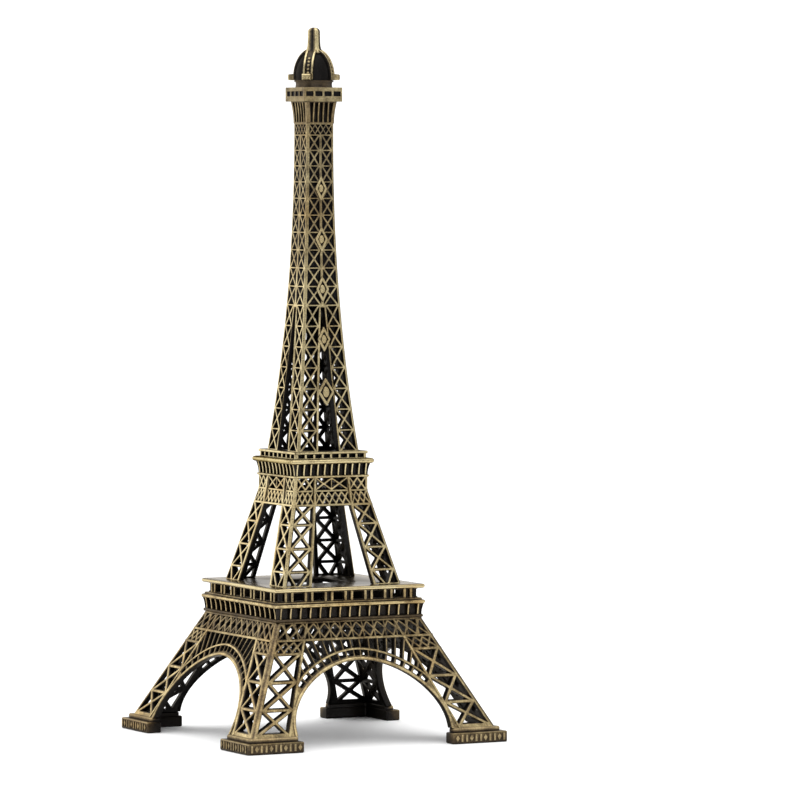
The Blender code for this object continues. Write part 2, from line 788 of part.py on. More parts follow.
def make_lantern():
    drum = turned("drum", [(DRUM_RADIUS, CABIN_TOP + GAP / 2), (DRUM_RADIUS, DRUM_TOP - GAP / 2)])
    new_object("lantern_drum", drum, DARK_BRONZE)
    dome = turned("dome", [(DOME_RADIUS, DRUM_TOP + GAP / 2)] + dome_arc(8))
    new_object("lantern_dome", dome, BLACK_PATINA, roughness=0.6, metallic=0.6)
    for i, corner in enumerate(CORNERS):
        rib = new_object("lantern_rib_" + corner, rib_mesh(), BRONZE)
        rib.rotation_euler.z = math.radians(225 + 90 * i)
    low = DOME_TOP + GAP / 2
    shoulder = HEIGHT - FINIAL_RADIUS
    cap = [(FINIAL_RADIUS * math.cos(math.radians(a)), shoulder + FINIAL_RADIUS * math.sin(math.radians(a)))
           for a in (30, 60, 80)]
    collar, collar_top = FINIAL_RADIUS * FINIAL_COLLAR, low + FINIAL_COLLAR_HEIGHT
    rod = [(collar, low), (collar, collar_top), (FINIAL_RADIUS, collar_top + FINIAL_COLLAR_SLOPE),
           (FINIAL_RADIUS, shoulder)]
    finial = turned("finial", rod + cap + [(FINIAL_TIP_RADIUS, HEIGHT)], 16)
    new_object("finial", finial, BRONZE)


def main():
    for old in list(bpy.data.objects):
        bpy.data.objects.remove(old, do_unlink=True)
    make_shoes()
    make_base()
    make_first_gallery()
    make_middle()
    make_second_gallery()
    make_shaft()
    make_collar()
    make_cabin()
    make_lantern()


main()
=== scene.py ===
"""Antique-bronze lattice tower souvenir: detailed castings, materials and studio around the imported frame.

Shapes are drawn in millimetres and become metres in Shape.piece. Each face of the tower is drawn in its
own plane, u across and z up, with its outer side at y = -half(z), and is turned about the axis.
"""

import math

import bpy
from mathutils import Matrix, Vector
from mathutils.geometry import delaunay_2d_cdt


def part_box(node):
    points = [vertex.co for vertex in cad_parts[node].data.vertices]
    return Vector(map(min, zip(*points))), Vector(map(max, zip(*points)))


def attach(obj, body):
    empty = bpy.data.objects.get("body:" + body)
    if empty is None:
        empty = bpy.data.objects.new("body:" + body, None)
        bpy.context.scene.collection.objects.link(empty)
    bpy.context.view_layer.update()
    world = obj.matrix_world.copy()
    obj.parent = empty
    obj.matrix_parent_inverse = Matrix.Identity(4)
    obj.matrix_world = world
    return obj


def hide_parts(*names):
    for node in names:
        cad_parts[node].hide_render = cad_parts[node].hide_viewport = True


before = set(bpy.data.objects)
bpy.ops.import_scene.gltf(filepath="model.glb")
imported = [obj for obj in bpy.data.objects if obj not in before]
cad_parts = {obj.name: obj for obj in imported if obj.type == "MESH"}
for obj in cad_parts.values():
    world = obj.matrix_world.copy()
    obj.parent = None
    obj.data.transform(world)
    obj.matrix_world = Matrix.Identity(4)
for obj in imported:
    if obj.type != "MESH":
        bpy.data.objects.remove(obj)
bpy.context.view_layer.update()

MM = 0.001
GAP = 0.3  # the CAD solids stand this far apart; the castings here close it
SKIN = 0.15  # how far the castings' faces stand in front of the CAD ones
SIDES = ("front", "right", "back", "left")
CORNERS = ("front_left", "front_right", "back_right", "back_left")


def mix(start, end, share):
    return start + (end - start) * share


def span(node):
    """A CAD node's lowest and highest corner, in millimetres."""
    low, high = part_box(node)
    return low / MM, high / MM


def heights(node):
    """A casting's lowest and highest z: the CAD node's, past half of each gap."""
    low, high = span(node)
    return low.z - GAP / 2, high.z + GAP / 2


# ---- dimensions read from the frame

SHOE_LOW, SHOE_HIGH = span("shoe_front_left")
BASE_LOW, BASE_HIGH = span("base_panel_front")
MID_LOW, MID_HIGH = span("middle_panel_front")
SHAFT_LOW, SHAFT_HIGH = span("shaft_panel_front")
HEIGHT = span("finial")[1].z

BASE_DEPTH = 2.2
MID_DEPTH = 1.9
SHAFT_DEPTH = 1.5
BASE_BOTTOM = BASE_LOW.z - GAP / 2
BASE_TOP = BASE_HIGH.z + GAP / 2
BASE_HALF_BOTTOM = SKIN - BASE_LOW.y
BASE_HALF_TOP = SKIN + BASE_DEPTH - BASE_HIGH.y
MID_BOTTOM = MID_LOW.z - GAP / 2
MID_TOP = MID_HIGH.z + GAP / 2
MID_HALF_BOTTOM = SKIN - MID_LOW.y
MID_HALF_NECK = SKIN + MID_DEPTH - MID_HIGH.y
SHAFT_BOTTOM = SHAFT_LOW.z
SHAFT_TOP = SHAFT_HIGH.z + GAP / 2
SHAFT_HALF_NECK = SKIN + 5.15
SHAFT_NECK_BELOW_TOP = 1.2

# ---- levels and proportions of the castings

BELT_LOW = 36.9
SUB_BELT_LOW = 32.4
LEG_LEVELS = (BASE_BOTTOM + 0.7, 14.1, 23.1, SUB_BELT_LOW)
LEG_INNER_FOOT = 32.7
LEG_INNER_SLOPE = 0.4366
ARCH_HALF_SPAN = 30.0
ARCH_SPRING = 7.5
ARCH_RISE = 22.1
ARCH_POWER = 1.8
ARCH_RIM = 1.55
ARCH_RING_IN = 3.3
ARCH_RING_OUT = 4.2

MID_BELT_LOW = 82.5
MID_BELT_HIGH = 87.4
MID_LEVELS = (47.2, 59.6, 67.5, 75.7, MID_BELT_LOW)
MID_LEG_FOOT = 11.1
MID_LEG_NECK = 9.1

SHAFT_FIRST_BAR = span("second_railing_front")[1].z + GAP / 2
SHAFT_JOIN = 152.3
SHAFT_LAST_BAR = 212.1
SHAFT_LOWER_ROWS = 7
SHAFT_UPPER_ROWS = 10
SHAFT_ROW_TAPER = 0.12  # how much lower the last row is than an even one
SHAFT_FLARE = 6.96
SHAFT_FLARE_HEIGHT = 115.0
SHAFT_FLARE_POWER = 2.15
SHAFT_SLOT_FOOT = 4.05
SHAFT_SLOT_SLOPE = 0.0676


def base_half(z):
    share = (z - BASE_LOW.z) / (BASE_HIGH.z - BASE_LOW.z)
    return mix(BASE_HALF_BOTTOM, BASE_HALF_TOP, share)


def leg_inner(z):
    return LEG_INNER_FOOT - LEG_INNER_SLOPE * (z - BASE_BOTTOM)


def mid_half(z):
    if z >= MID_BELT_HIGH:
        return MID_HALF_NECK
    share = (z - MID_LOW.z) / (MID_BELT_HIGH - MID_LOW.z)
    return mix(MID_HALF_BOTTOM, MID_HALF_NECK, share)


def mid_leg_inner(z):
    share = (z - MID_BOTTOM) / (MID_BELT_LOW - MID_BOTTOM)
    return mid_half(z) - mix(MID_LEG_FOOT, MID_LEG_NECK, share)


def shaft_half(z):
    share = max(0.0, (SHAFT_TOP - SHAFT_NECK_BELOW_TOP - z) / SHAFT_FLARE_HEIGHT)
    return SHAFT_HALF_NECK + SHAFT_FLARE * share**SHAFT_FLARE_POWER


def shaft_slot(z):
    """Half width of the gap between the two legs of a shaft face."""
    return SHAFT_SLOT_FOOT - SHAFT_SLOT_SLOPE * (z - SHAFT_FIRST_BAR)


def shaft_levels():
    """Where the shaft's bars are: even rows up to the join, lower and lower ones above it."""
    rise = (SHAFT_JOIN - SHAFT_FIRST_BAR) / SHAFT_LOWER_ROWS
    found = [SHAFT_FIRST_BAR + rise * i for i in range(SHAFT_LOWER_ROWS)]
    for i in range(SHAFT_UPPER_ROWS + 1):
        share = i / SHAFT_UPPER_ROWS
        share *= 1 + SHAFT_ROW_TAPER - SHAFT_ROW_TAPER * share
        found.append(mix(SHAFT_JOIN, SHAFT_LAST_BAR, share))
    return found


# ---- plane geometry


def inset(points, gaps, parallel=1e-3):
    """An anticlockwise polygon with each side moved inwards by its gap."""
    if not isinstance(gaps, (list, tuple)):
        gaps = [gaps] * len(points)
    lines = []
    for (x0, y0), (x1, y1), gap in zip(points, points[1:] + points[:1], gaps):
        length = math.hypot(x1 - x0, y1 - y0)
        nx, ny = -(y1 - y0) / length, (x1 - x0) / length
        lines.append((nx, ny, nx * x0 + ny * y0 + gap, gap))
    corners = []
    for point, (a0, b0, c0, g0), (a1, b1, c1, _) in zip(points, lines[-1:] + lines[:-1], lines):
        scale = a0 * b1 - a1 * b0
        if abs(scale) < parallel:
            corners.append((point[0] + a0 * g0, point[1] + b0 * g0))
        else:
            corners.append(((c0 * b1 - c1 * b0) / scale, (a0 * c1 - a1 * c0) / scale))
    return corners


def area(polygon):
    """Positive for an anticlockwise polygon."""
    pairs = zip(polygon, polygon[1:] + polygon[:1])
    return sum(x0 * y1 - x1 * y0 for (x0, y0), (x1, y1) in pairs) / 2


def inside(point, polygon):
    x, y = point
    odd = False
    for (x0, y0), (x1, y1) in zip(polygon, polygon[1:] + polygon[:1]):
        if (y0 > y) != (y1 > y) and x < x0 + (y - y0) * (x1 - x0) / (y1 - y0):
            odd = not odd
    return odd


def mirrored(polygon):
    return [(-u, z) for u, z in reversed(polygon)]


def rectangle(left, right, low, high):
    return [(left, low), (right, low), (right, high), (left, high)]


def lozenge(u, z, across, up):
    """A diamond about a point, from its half width and half height."""
    return [(u, z - up), (u + across, z), (u, z + up), (u - across, z)]


def both_sides(polygons):
    return polygons + [mirrored(p) for p in polygons]


def crossing(corners):
    """Where the diagonals of a four-sided cell meet."""
    (x0, y0), (x1, y1), (x2, y2), (x3, y3) = corners
    scale = (x2 - x0) * (y3 - y1) - (y2 - y0) * (x3 - x1)
    share = ((x1 - x0) * (y3 - y1) - (y1 - y0) * (x3 - x1)) / scale
    return (x0 + share * (x2 - x0), y0 + share * (y2 - y0))


def braced_cell(corners, gaps, brace, least=0.02):
    """Four triangular windows that leave an X of braces; gaps are for the bottom, right, top and left."""
    middle = crossing(corners)
    found = []
    for i, gap in enumerate(gaps):
        triangle = inset([corners[i], corners[(i + 1) % 4], middle], [gap, brace / 2, brace / 2])
        if area(triangle) > least:
            found.append(triangle)
    return found


def braced_leg(levels, left, right, gap, brace):
    """Windows of a column of braced cells; gap is half of the bar between two of them."""
    found = []
    for low, high in zip(levels, levels[1:]):
        found += braced_cell(quad(left, right, low, high), (gap, 0.0, gap, 0.0), brace)
    return found


def quad(left, right, low, high):
    """Corners of a cell between two edges that are functions of height."""
    return [(left(low), low), (right(low), low), (right(high), high), (left(high), high)]


def clip(polygon, keep):
    """The part of a polygon where keep, which changes linearly over the plane, is positive."""
    found = []
    for here, after in zip(polygon, polygon[1:] + polygon[:1]):
        a, b = keep(*here), keep(*after)
        if a >= 0:
            found.append(here)
        if a * b < 0:
            t = a / (a - b)
            found.append((mix(here[0], after[0], t), mix(here[1], after[1], t)))
    return found


def lattice_row(left, right, low, high, count, brace, upright=0.0, least=0.08):
    """Windows of a row of X's: diamonds between neighbours, and triangles that an upright may halve."""
    nodes = []
    for i in range(count + 1):
        share = i / count
        nodes.append([(mix(left(z), right(z), share), z) for z in (low, high)])
    cells = [crossing([a[0], b[0], b[1], a[1]]) for a, b in zip(nodes, nodes[1:])]
    b, w = brace / 2, upright / 2
    found = [inset([nodes[0][0], cells[0], nodes[0][1]], [b, b, 0.0])]
    found.append(inset([cells[-1], nodes[-1][0], nodes[-1][1]], [b, 0.0, b]))
    for before, node, after in zip(cells, nodes[1:], cells[1:]):
        found.append(inset([before, node[0], after, node[1]], b))
    for (foot, head), middle, (next_foot, next_head) in zip(nodes, cells, nodes[1:]):
        if not upright:
            found.append(inset([foot, next_foot, middle], [0.0, b, b]))
            found.append(inset([middle, next_head, head], [b, 0.0, b]))
            continue
        low_middle, high_middle = (middle[0], low), (middle[0], high)
        found.append(inset([foot, low_middle, middle], [0.0, w, b]))
        found.append(inset([low_middle, next_foot, middle], [0.0, b, w]))
        found.append(inset([middle, high_middle, head], [w, 0.0, b]))
        found.append(inset([middle, next_head, high_middle], [b, 0.0, w]))
    return [window for window in found if area(window) > least]


def round_polygon(points, radius, steps=4, most=0.4):
    """A polygon with each corner replaced by a small arc that takes up at most a share of its sides."""
    found = []
    for before, here, after in zip(points[-1:] + points[:-1], points, points[1:] + points[:1]):
        here = Vector(here)
        back, on = Vector(before) - here, Vector(after) - here
        r = min(radius, most * back.length, most * on.length)
        start, end = here + back.normalized() * r, here + on.normalized() * r
        for i in range(steps + 1):
            t = i / steps
            point = start * (1 - t) ** 2 + here * 2 * t * (1 - t) + end * t**2
            found.append((point.x, point.y))
    return found


def shrunk(loop, amount, least_amount=0.02, least_share=0.12):
    """A window's loop moved inwards, but by no more than leaves a share of it open."""
    while amount > least_amount:
        found = inset(loop, amount)
        sides = zip(loop, loop[1:] + loop[:1], found, found[1:] + found[:1])
        along = [(b[0] - a[0]) * (d[0] - c[0]) + (b[1] - a[1]) * (d[1] - c[1]) for a, b, c, d in sides]
        if min(along) > 0 and area(found) > least_share * area(loop):
            return found
        amount *= 0.75
    return list(loop)


# ---- shapes


def link(name, data):
    made = bpy.data.objects.new(name, data)
    bpy.context.scene.collection.objects.link(made)
    return made


class Shape:
    """Points, faces and a wear value per point: 1 is rubbed bright, 0 is dark patina; in a few places low
    values are painted shade instead.
    """

    def __init__(self):
        self.points = []
        self.faces = []
        self.wear_and_shade = []

    def add(self, points, faces, wear_and_shade):
        first = len(self.points)
        self.points += [Vector(p) for p in points]
        self.faces += [tuple(first + i for i in face) for face in faces]
        self.wear_and_shade += list(wear_and_shade) if hasattr(wear_and_shade, "__len__") else [wear_and_shade] * len(points)

    def turned(self, quarters):
        """A copy turned about the tower's axis by a number of quarter turns."""
        made = Shape()
        turn = Matrix.Rotation(quarters * math.pi / 2, 3, "Z")
        made.add([turn @ p for p in self.points], self.faces, self.wear_and_shade)
        return made

    def join(self, other):
        self.add(other.points, other.faces, other.wear_and_shade)
        return self

    def all_round(self):
        """The shape on all four sides of the tower."""
        made = Shape()
        for quarters in range(4):
            made.join(self.turned(quarters))
        return made

    def piece(self, name, node, slot, material, smooth=None):
        """The visible piece for a CAD node; smooth is the least angle of a sharp edge."""
        mesh = bpy.data.meshes.new(name)
        mesh.from_pydata([p * MM for p in self.points], [], self.faces)
        mesh.update()
        mesh.attributes.new("wear_and_shade", "FLOAT", "POINT").data.foreach_set("value", self.wear_and_shade)
        mesh.materials.append(material)
        if smooth:
            mesh.shade_smooth()
            mesh.set_sharp_from_angle(angle=math.radians(smooth))
        made = link(name, mesh)
        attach(made, "root")
        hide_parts(node)


def four_sides(shape, name, node, material):
    """One piece on each side of the tower, from the shape of the front one."""
    for turn, side in enumerate(SIDES):
        shape.turned(turn).piece(name + side, node + side, "antique_bronze", material)


def prism(shape, polygon, low, high, wear_and_shade):
    """An upright prism over a polygon in plan."""
    loft(shape, [[(x, y, z) for x, y in polygon] for z in (low, high)], wear_and_shade)


def loft(shape, rings, wear_and_shade):
    """Skins rings of points and closes both ends; wear is one value, or one for each ring or point."""
    count = len(rings[0])
    if hasattr(wear_and_shade, "__len__") and len(wear_and_shade) == len(rings):
        wear_and_shade = [w for w in wear_and_shade for _ in range(count)]
    faces = []
    for ring in range(len(rings) - 1):
        for i in range(count):
            j = (i + 1) % count
            a, b = ring * count, (ring + 1) * count
            faces.append((a + i, a + j, b + j, b + i))
    faces.append(tuple(reversed(range(count))))
    faces.append(tuple((len(rings) - 1) * count + i for i in range(count)))
    shape.add([p for ring in rings for p in ring], faces, wear_and_shade)


def turned_solid(shape, profile, steps=48, flute_depth=0.0, flute_dark=0.85):
    """A solid of revolution from (radius, height, wear) points, with four dark flutes on the diagonals."""
    rings, wear_and_shade = [], []
    for radius, z, value in profile:
        ring = []
        for i in range(steps):
            angle = 2 * math.pi * i / steps
            flute = (0.5 - 0.5 * math.cos(4 * angle)) ** 1.5 if flute_depth else 0.0
            r = radius * (1 - flute_depth * flute)
            ring.append((r * math.cos(angle), r * math.sin(angle), z))
            wear_and_shade.append(value * (1 - flute_dark * flute))
        rings.append(ring)
    loft(shape, rings, wear_and_shade)


def square_ring(shape, section, chamfer=0.35):
    """A closed section of (half width, height, wear) points round a square with clipped corners."""
    count = len(section)
    points, wear_and_shade = [], []
    for turn in range(4):
        rotate = Matrix.Rotation(turn * math.pi / 2, 3, "Z")
        for x_cut, y_cut in ((0, 1), (1, 0)):
            for half, z, value in section:
                points.append(rotate @ Vector((-half + x_cut * chamfer, -half + y_cut * chamfer, z)))
                wear_and_shade.append(value)
    faces = []
    for side in range(8):
        near, far = side * count, (side + 1) % 8 * count
        for i in range(count):
            j = (i + 1) % count
            faces.append((near + i, far + i, far + j, near + j))
    shape.add(points, faces, wear_and_shade)


def round_edge(half, low, high, radius, wear_and_shade=1.0, steps=4, least=0.35):
    """Outer side of a moulding with rounded edges, bottom up, most rubbed at its middle."""
    found = []
    for centre, start in ((low + radius, -90.0), (high - radius, 0.0)):
        for i in range(steps + 1):
            angle = math.radians(start + 90.0 * i / steps)
            across, up = radius * math.cos(angle), radius * math.sin(angle)
            rub = wear_and_shade * (least + (1 - least) * math.cos(angle))
            found.append((half - radius + across, centre + up, rub))
    return found


def moulding(shape, half, inner, low, high, radius, wear_and_shade, chamfer=0.35, steps=4, top=0.1):
    """A square ring with a rounded outer side."""
    section = round_edge(half, low, high, radius, wear_and_shade, steps) + [(inner, high, top), (inner, low, 0.0)]
    square_ring(shape, section, chamfer)


TOUCH = 0.02  # an outline point this close to half(z) lies on the tower's corner
MERGE = 1e-4  # points of an outline that are this close become one
EDGE_STEEPNESS = 1.1  # depth of the slope round a window, over its width
SIDE_WEAR = 0.1  # of a window's sides, over the front's


def plate(shape, outline, windows, half, depth, blind=(), sink=0.0, folds=(), edge=0.2, draft=0.1,
          corner=1.0, band=1.0, rounding=0.3, wear_and_shade_level=lambda u, z: 1.0):
    """A casting on a tower face, with narrow front edges, drafted windows and mitred, chamfered ends.

    Blind windows stop at sink. Folds join outline points where half bends. Edge is the width of the
    slope round a window, corner that of the chamfer on the tower's corners, and band its wear. Each
    loop has three versions: the front's, the one a little behind it, and the one at the back.
    """
    low = min(z for _, z in outline)
    high = max(z for _, z in outline)
    ends = [abs(u) > half(z) - TOUCH for u, z in outline]
    gaps = []
    for i, (u0, z0) in enumerate(outline):
        after = (i + 1) % len(outline)
        u1, z1 = outline[after]
        on_end = ends[i] and ends[after] and u0 * u1 > 0
        flat = z0 == z1 and z0 in (low, high)
        gaps.append(corner if on_end else 0.0 if flat else edge)
    fronts, middles, backs = [inset(outline, gaps)], [list(outline)], [list(outline)]
    for loop in (*windows, *blind):
        fronts.append(round_polygon(inset(loop, -edge), rounding + edge / 2, 2))
        middles.append(round_polygon(list(loop), rounding, 2))
        backs.append(round_polygon(shrunk(loop, draft), rounding, 2))
    edges, start = [], 0
    for loop in fronts:
        edges += [(start + i, start + (i + 1) % len(loop)) for i in range(len(loop))]
        start += len(loop)
    flat_front = [Vector(p) for loop in fronts for p in loop]
    flat_middle = [p for loop in middles for p in loop]
    flat_back = [p for loop in backs for p in loop]
    verts, _, faces, sources, _, _ = delaunay_2d_cdt(flat_front, edges + list(folds), [], 0, MERGE, True)
    solid, floors = [], []
    for face in faces:
        centre = (sum(verts[i][0] for i in face) / 3, sum(verts[i][1] for i in face) / 3)
        if not inside(centre, fronts[0]) or any(inside(centre, w) for w in fronts[1:1 + len(windows)]):
            continue
        sunk = any(inside(centre, w) for w in fronts[1 + len(windows):])
        (floors if sunk else solid).append(tuple(face))

    def place(point, inward, end):
        u, z = point
        if end:
            u = math.copysign(half(z) - inward, u)
        return (u, inward - half(z), z)

    layers, wear_and_shade = ([], [], [], []), ([], [])
    for vert, source in zip(verts, sources):
        here = source[0] if source else None
        end = here is not None and here < len(outline) and ends[here]
        middle = flat_middle[here] if here is not None else tuple(vert)
        back = flat_back[here] if here is not None else tuple(vert)
        layers[0].append((vert[0], -half(vert[1]), vert[1]))
        layers[1].append(place(middle, corner / 2 if end else edge * EDGE_STEEPNESS, end))
        layers[2].append(place(back, sink, end))
        layers[3].append(place(back, depth, end))
        rub = wear_and_shade_level(*vert)
        wear_and_shade[0].append(rub)
        wear_and_shade[1].append(rub * (band if end else SIDE_WEAR))
    total = len(verts)
    points = [p for layer in layers for p in layer]
    values = wear_and_shade[0] + wear_and_shade[1] + [0.0] * total * 2

    def border(faces):
        ways = {(f[i], f[(i + 1) % len(f)]) for f in faces for i in range(len(f))}
        return [(a, b) for a, b in sorted(ways) if (b, a) not in ways]

    made = list(solid)
    made += [tuple(i + 2 * total for i in f) for f in floors]
    made += [tuple(i + 3 * total for i in reversed(f)) for f in solid + floors]
    for a, b in border(solid + floors):
        made.append((b, a, a + total, b + total))
        made.append((b + total, a + total, a + 3 * total, b + 3 * total))
    for a, b in border(floors):
        made.append((a, b, b + total, a + total))
        made.append((a + total, b + total, b + 2 * total, a + 2 * total))
    used = sorted({i for f in made for i in f})
    index = {old: new for new, old in enumerate(used)}
    faces = [tuple(index[i] for i in f) for f in made]
    shape.add([points[i] for i in used], faces, [values[i] for i in used])


def face_strip(shape, path, section, half):
    """A bar along a path on a tower face; section is a closed loop of (offset, depth, wear)."""
    rings, count = [], len(path)
    for i, (u, z) in enumerate(path):
        before, after = path[max(i - 1, 0)], path[min(i + 1, count - 1)]
        way = Vector((after[0] - before[0], after[1] - before[1])).normalized()
        ring = []
        for offset, inward, _ in section:
            x, height = u - way.y * offset, z + way.x * offset
            ring.append((x, inward - half(height), height))
        rings.append(ring)
    loft(shape, rings, [w for _ in path for _, _, w in section])


def rib(shape, u, width, profile, root, edge=0.15, wear_and_shade_level=1.0):
    """An upright bar along a profile of (half, height) points on a tower face, as deep as half = root."""
    rings = []
    w = width / 2
    for half, z in profile:
        left = [(u - w, -root, z), (u - w, edge - half, z), (u - w + edge, -half, z)]
        right = [(u + w - edge, -half, z), (u + w, edge - half, z), (u + w, -root, z)]
        rings.append(left + right)
    side = 0.6 * wear_and_shade_level
    loft(shape, [r[::-1] for r in rings], [0.1, side, wear_and_shade_level, wear_and_shade_level, side, 0.1] * len(profile))


def relief(shape, outline, half, steps):
    """A mark on a tower face, from an anticlockwise outline and steps of (inset, how far out, wear)."""
    rings = []
    for gap, out, _ in steps:
        rings.append([(u, -half(z) - out, z) for u, z in (inset(outline, gap) if gap else outline)])
    loft(shape, rings, [value for _, _, value in steps])


def boss(shape, outline, half, proud, wear_and_shade_level, edge, root=0.4):
    """A raised mark with a chamfered edge; root is how deep it starts."""
    relief(shape, outline, half, ((0.0, -root, 0.0), (0.0, proud - edge, wear_and_shade_level * 0.4), (edge, proud, wear_and_shade_level)))


# ---- materials

# Along the wear value, which in a few places carries painted shade: black patina, brown, dull bronze,
# rubbed brass
WEAR_AND_SHADE_COLOURS = ((0.0, (0.009, 0.0083, 0.0083)), (0.2, (0.019, 0.0165, 0.0145)),
                (0.45, (0.082, 0.062, 0.038)), (0.75, (0.31, 0.248, 0.135)), (1.0, (0.61, 0.51, 0.285)))
BROWN = (0.84, 0.74, 0.62, 1.0)  # multiplies the colour in patches
GRAZING = (0.6, 0.57, 0.52)  # tint of the reflection at grazing angles


def antique_bronze(name, rub=1.0, tint=(1.0, 1.0, 1.0), roughness=0.3, grit=1.0, lacquer=0.16, graze=1.0):
    """Dark patina with brass rubbed through where the wear attribute is high; where that attribute holds
    painted shade, it darkens the same way.

    Rub scales the wear, grit the unevenness, lacquer the clear coat and graze the shine at the edges.
    """
    made = bpy.data.materials.new(name)
    made.use_nodes = True
    tree = made.node_tree

    def fill(target, **values):
        """Sets or links the inputs that are named, with _ for a space."""
        for key, value in values.items():
            socket = target.inputs[key.replace("_", " ")]
            if isinstance(value, bpy.types.NodeSocket):
                tree.links.new(value, socket)
            else:
                socket.default_value = value
        return target

    def node(kind, **values):
        return fill(tree.nodes.new("ShaderNode" + kind), **values)

    def noise(scale, detail, rough):
        """Fractal noise between 0 and 1; scale is in waves to the metre."""
        found = node("TexNoise", Vector=coordinates, Scale=scale, Detail=detail, Roughness=rough)
        return found.outputs["Fac"]

    def combine(operation, *values):
        found = node("Math")
        found.operation = operation
        for socket, value in zip(found.inputs, values):
            if isinstance(value, float):
                socket.default_value = value
            else:
                tree.links.new(value, socket)
        return found.outputs[0]

    def spread(fac, amount, middle=0.5):
        return combine("MULTIPLY", combine("SUBTRACT", fac, middle), amount)

    coordinates = node("TexCoord").outputs["Object"]
    wear_and_shade = node("Attribute")
    wear_and_shade.attribute_name = "wear_and_shade"
    patch, blotch = noise(85.0, 2.0, 0.5), noise(240.0, 3.0, 0.55)
    grain, pits = noise(1500.0, 2.0, 0.6), noise(5200.0, 1.0, 0.5)
    wear_and_shade_level = combine("MULTIPLY", wear_and_shade.outputs["Fac"], rub)
    uneven = combine("ADD", spread(blotch, 0.8 * grit), spread(grain, 0.6 * grit))
    level = combine("ADD", wear_and_shade_level, combine("MULTIPLY", uneven, combine("ADD", wear_and_shade_level, 0.1)))
    ramp = node("ValToRGB", Fac=level)
    while len(ramp.color_ramp.elements) < len(WEAR_AND_SHADE_COLOURS):
        ramp.color_ramp.elements.new(0.5)
    for element, (place, colour) in zip(ramp.color_ramp.elements, WEAR_AND_SHADE_COLOURS):
        element.position = place
        element.color = (*[c * t for c, t in zip(colour, tint)], 1.0)
    brown = node("Mix")
    brown.data_type = "RGBA"
    brown.blend_type = "MULTIPLY"
    fill(brown, Factor=spread(patch, 3.0, 0.45), A=ramp.outputs["Color"], B=BROWN)
    dull = combine("MULTIPLY", combine("SUBTRACT", 1.0, wear_and_shade_level), 0.2)
    rough = combine("ADD", roughness, combine("ADD", dull, spread(grain, 0.22 * grit)))
    relief = combine("ADD", grain, combine("MULTIPLY", pits, 0.5))
    bump = node("Bump", Strength=0.6 * grit, Distance=0.08 * MM, Height=relief)
    fill(tree.nodes["Principled BSDF"], Metallic=1.0, Specular_Tint=(*[c * graze for c in GRAZING], 1.0),
         Coat_Weight=lacquer, Coat_Roughness=0.2, Base_Color=brown.outputs["Result"], Roughness=rough,
         Normal=bump.outputs["Normal"])
    return made


BRONZE = antique_bronze("bronze_rubbed")
BRONZE_LOW = antique_bronze("bronze_base", rub=0.88, tint=(1.0, 0.96, 0.9), grit=1.2)
BRONZE_LEDGE = antique_bronze("bronze_ledge", rub=0.95, lacquer=0.0, graze=0.15)
BRONZE_DULL = antique_bronze("bronze_dull", rub=0.86, tint=(1.0, 0.95, 0.9))
BRONZE_GLOSS = antique_bronze("bronze_gloss", rub=0.92, roughness=0.2, grit=0.35, lacquer=0.25)
PATINA = antique_bronze("black_patina", rub=0.6, roughness=0.4, lacquer=0.06)

# ---- shoes

SHOE_INNER = 45.4
SHOE_STEP = 3.9  # height of the lower step
TREAD_SET_BACK = 2.2
TREAD_SHORTER = 1.2
RUBBED_AND_LIT_STRIP = 3.5  # only this much of a shoe, next to its outer faces, is rubbed bright; farther in, towards the tower's inside, the shoe is darkened, partly as unrubbed patina and partly as painted shade
MARK_PROUD = 0.3
MARK_PITCH = 1.85
MARK_LOW = 0.75
MARK_HIGH = 3.35


def shoe_outline(outer, inner, end):
    wing = [(-outer, -outer), (-end, -outer), (-end, -inner)]
    return wing + [(-inner, -inner), (-inner, -end), (-outer, -end)]


def shoe_marks(outer, end):
    """A row of plain bars and lozenges on a shoe's front."""
    marks = Shape()
    count = int((outer - end - 1.6) / MARK_PITCH)
    first = -outer + (outer - end - MARK_PITCH * (count - 1)) / 2
    for i in range(count):
        u = first + MARK_PITCH * i
        mark = rectangle(u - 0.45, u + 0.45, MARK_LOW, MARK_HIGH)
        if i % 3 == 1:
            mark = lozenge(u, (MARK_LOW + MARK_HIGH) / 2, 0.85, (MARK_HIGH - MARK_LOW) / 2)
        boss(marks, mark, lambda z: outer - MARK_PROUD, MARK_PROUD, 0.85, 0.14)
    return marks


def make_shoes():
    outer, end = -SHOE_LOW.x, -SHOE_HIGH.x
    body = round_polygon(shoe_outline(outer - MARK_PROUD, SHOE_INNER, end), 0.5)
    tread = round_polygon(shoe_outline(outer - TREAD_SET_BACK, SHOE_INNER, end + TREAD_SHORTER), 0.7)
    shape = Shape()
    rings, wear_and_shade = [], []
    for ring, z, value in (
            (inset(body, 0.35), 0.0, 0.1), (body, 0.35, 0.35), (body, SHOE_STEP - 0.5, 0.6),
            (inset(body, 0.15), SHOE_STEP - 0.15, 0.95), (inset(body, 0.5), SHOE_STEP, 0.6),
            (tread, SHOE_STEP + 0.02, 0.25), (tread, BASE_BOTTOM - 0.4, 0.85),
            (inset(tread, 0.35), BASE_BOTTOM, 0.7)):
        rings.append([(x, y, z) for x, y in ring])
        wear_and_shade.append(value)
    loft(shape, rings, wear_and_shade)
    # painted shade together with unrubbed patina: points away from the outer faces, inside the tower, are
    # darkened
    for i, point in enumerate(shape.points):
        if min(point.x, point.y) >= RUBBED_AND_LIT_STRIP - outer:
            shape.wear_and_shade[i] *= 0.15
    front = shoe_marks(outer, end)
    shape.join(front)
    swapped = [(p.y, p.x, p.z) for p in front.points]
    shape.add(swapped, [tuple(reversed(f)) for f in front.faces], front.wear_and_shade)
    for turn, corner in enumerate(CORNERS):
        made = shape.turned(turn)
        made.piece("shoe_casting_" + corner, "shoe_" + corner, "dark_bronze", BRONZE_DULL, 40)


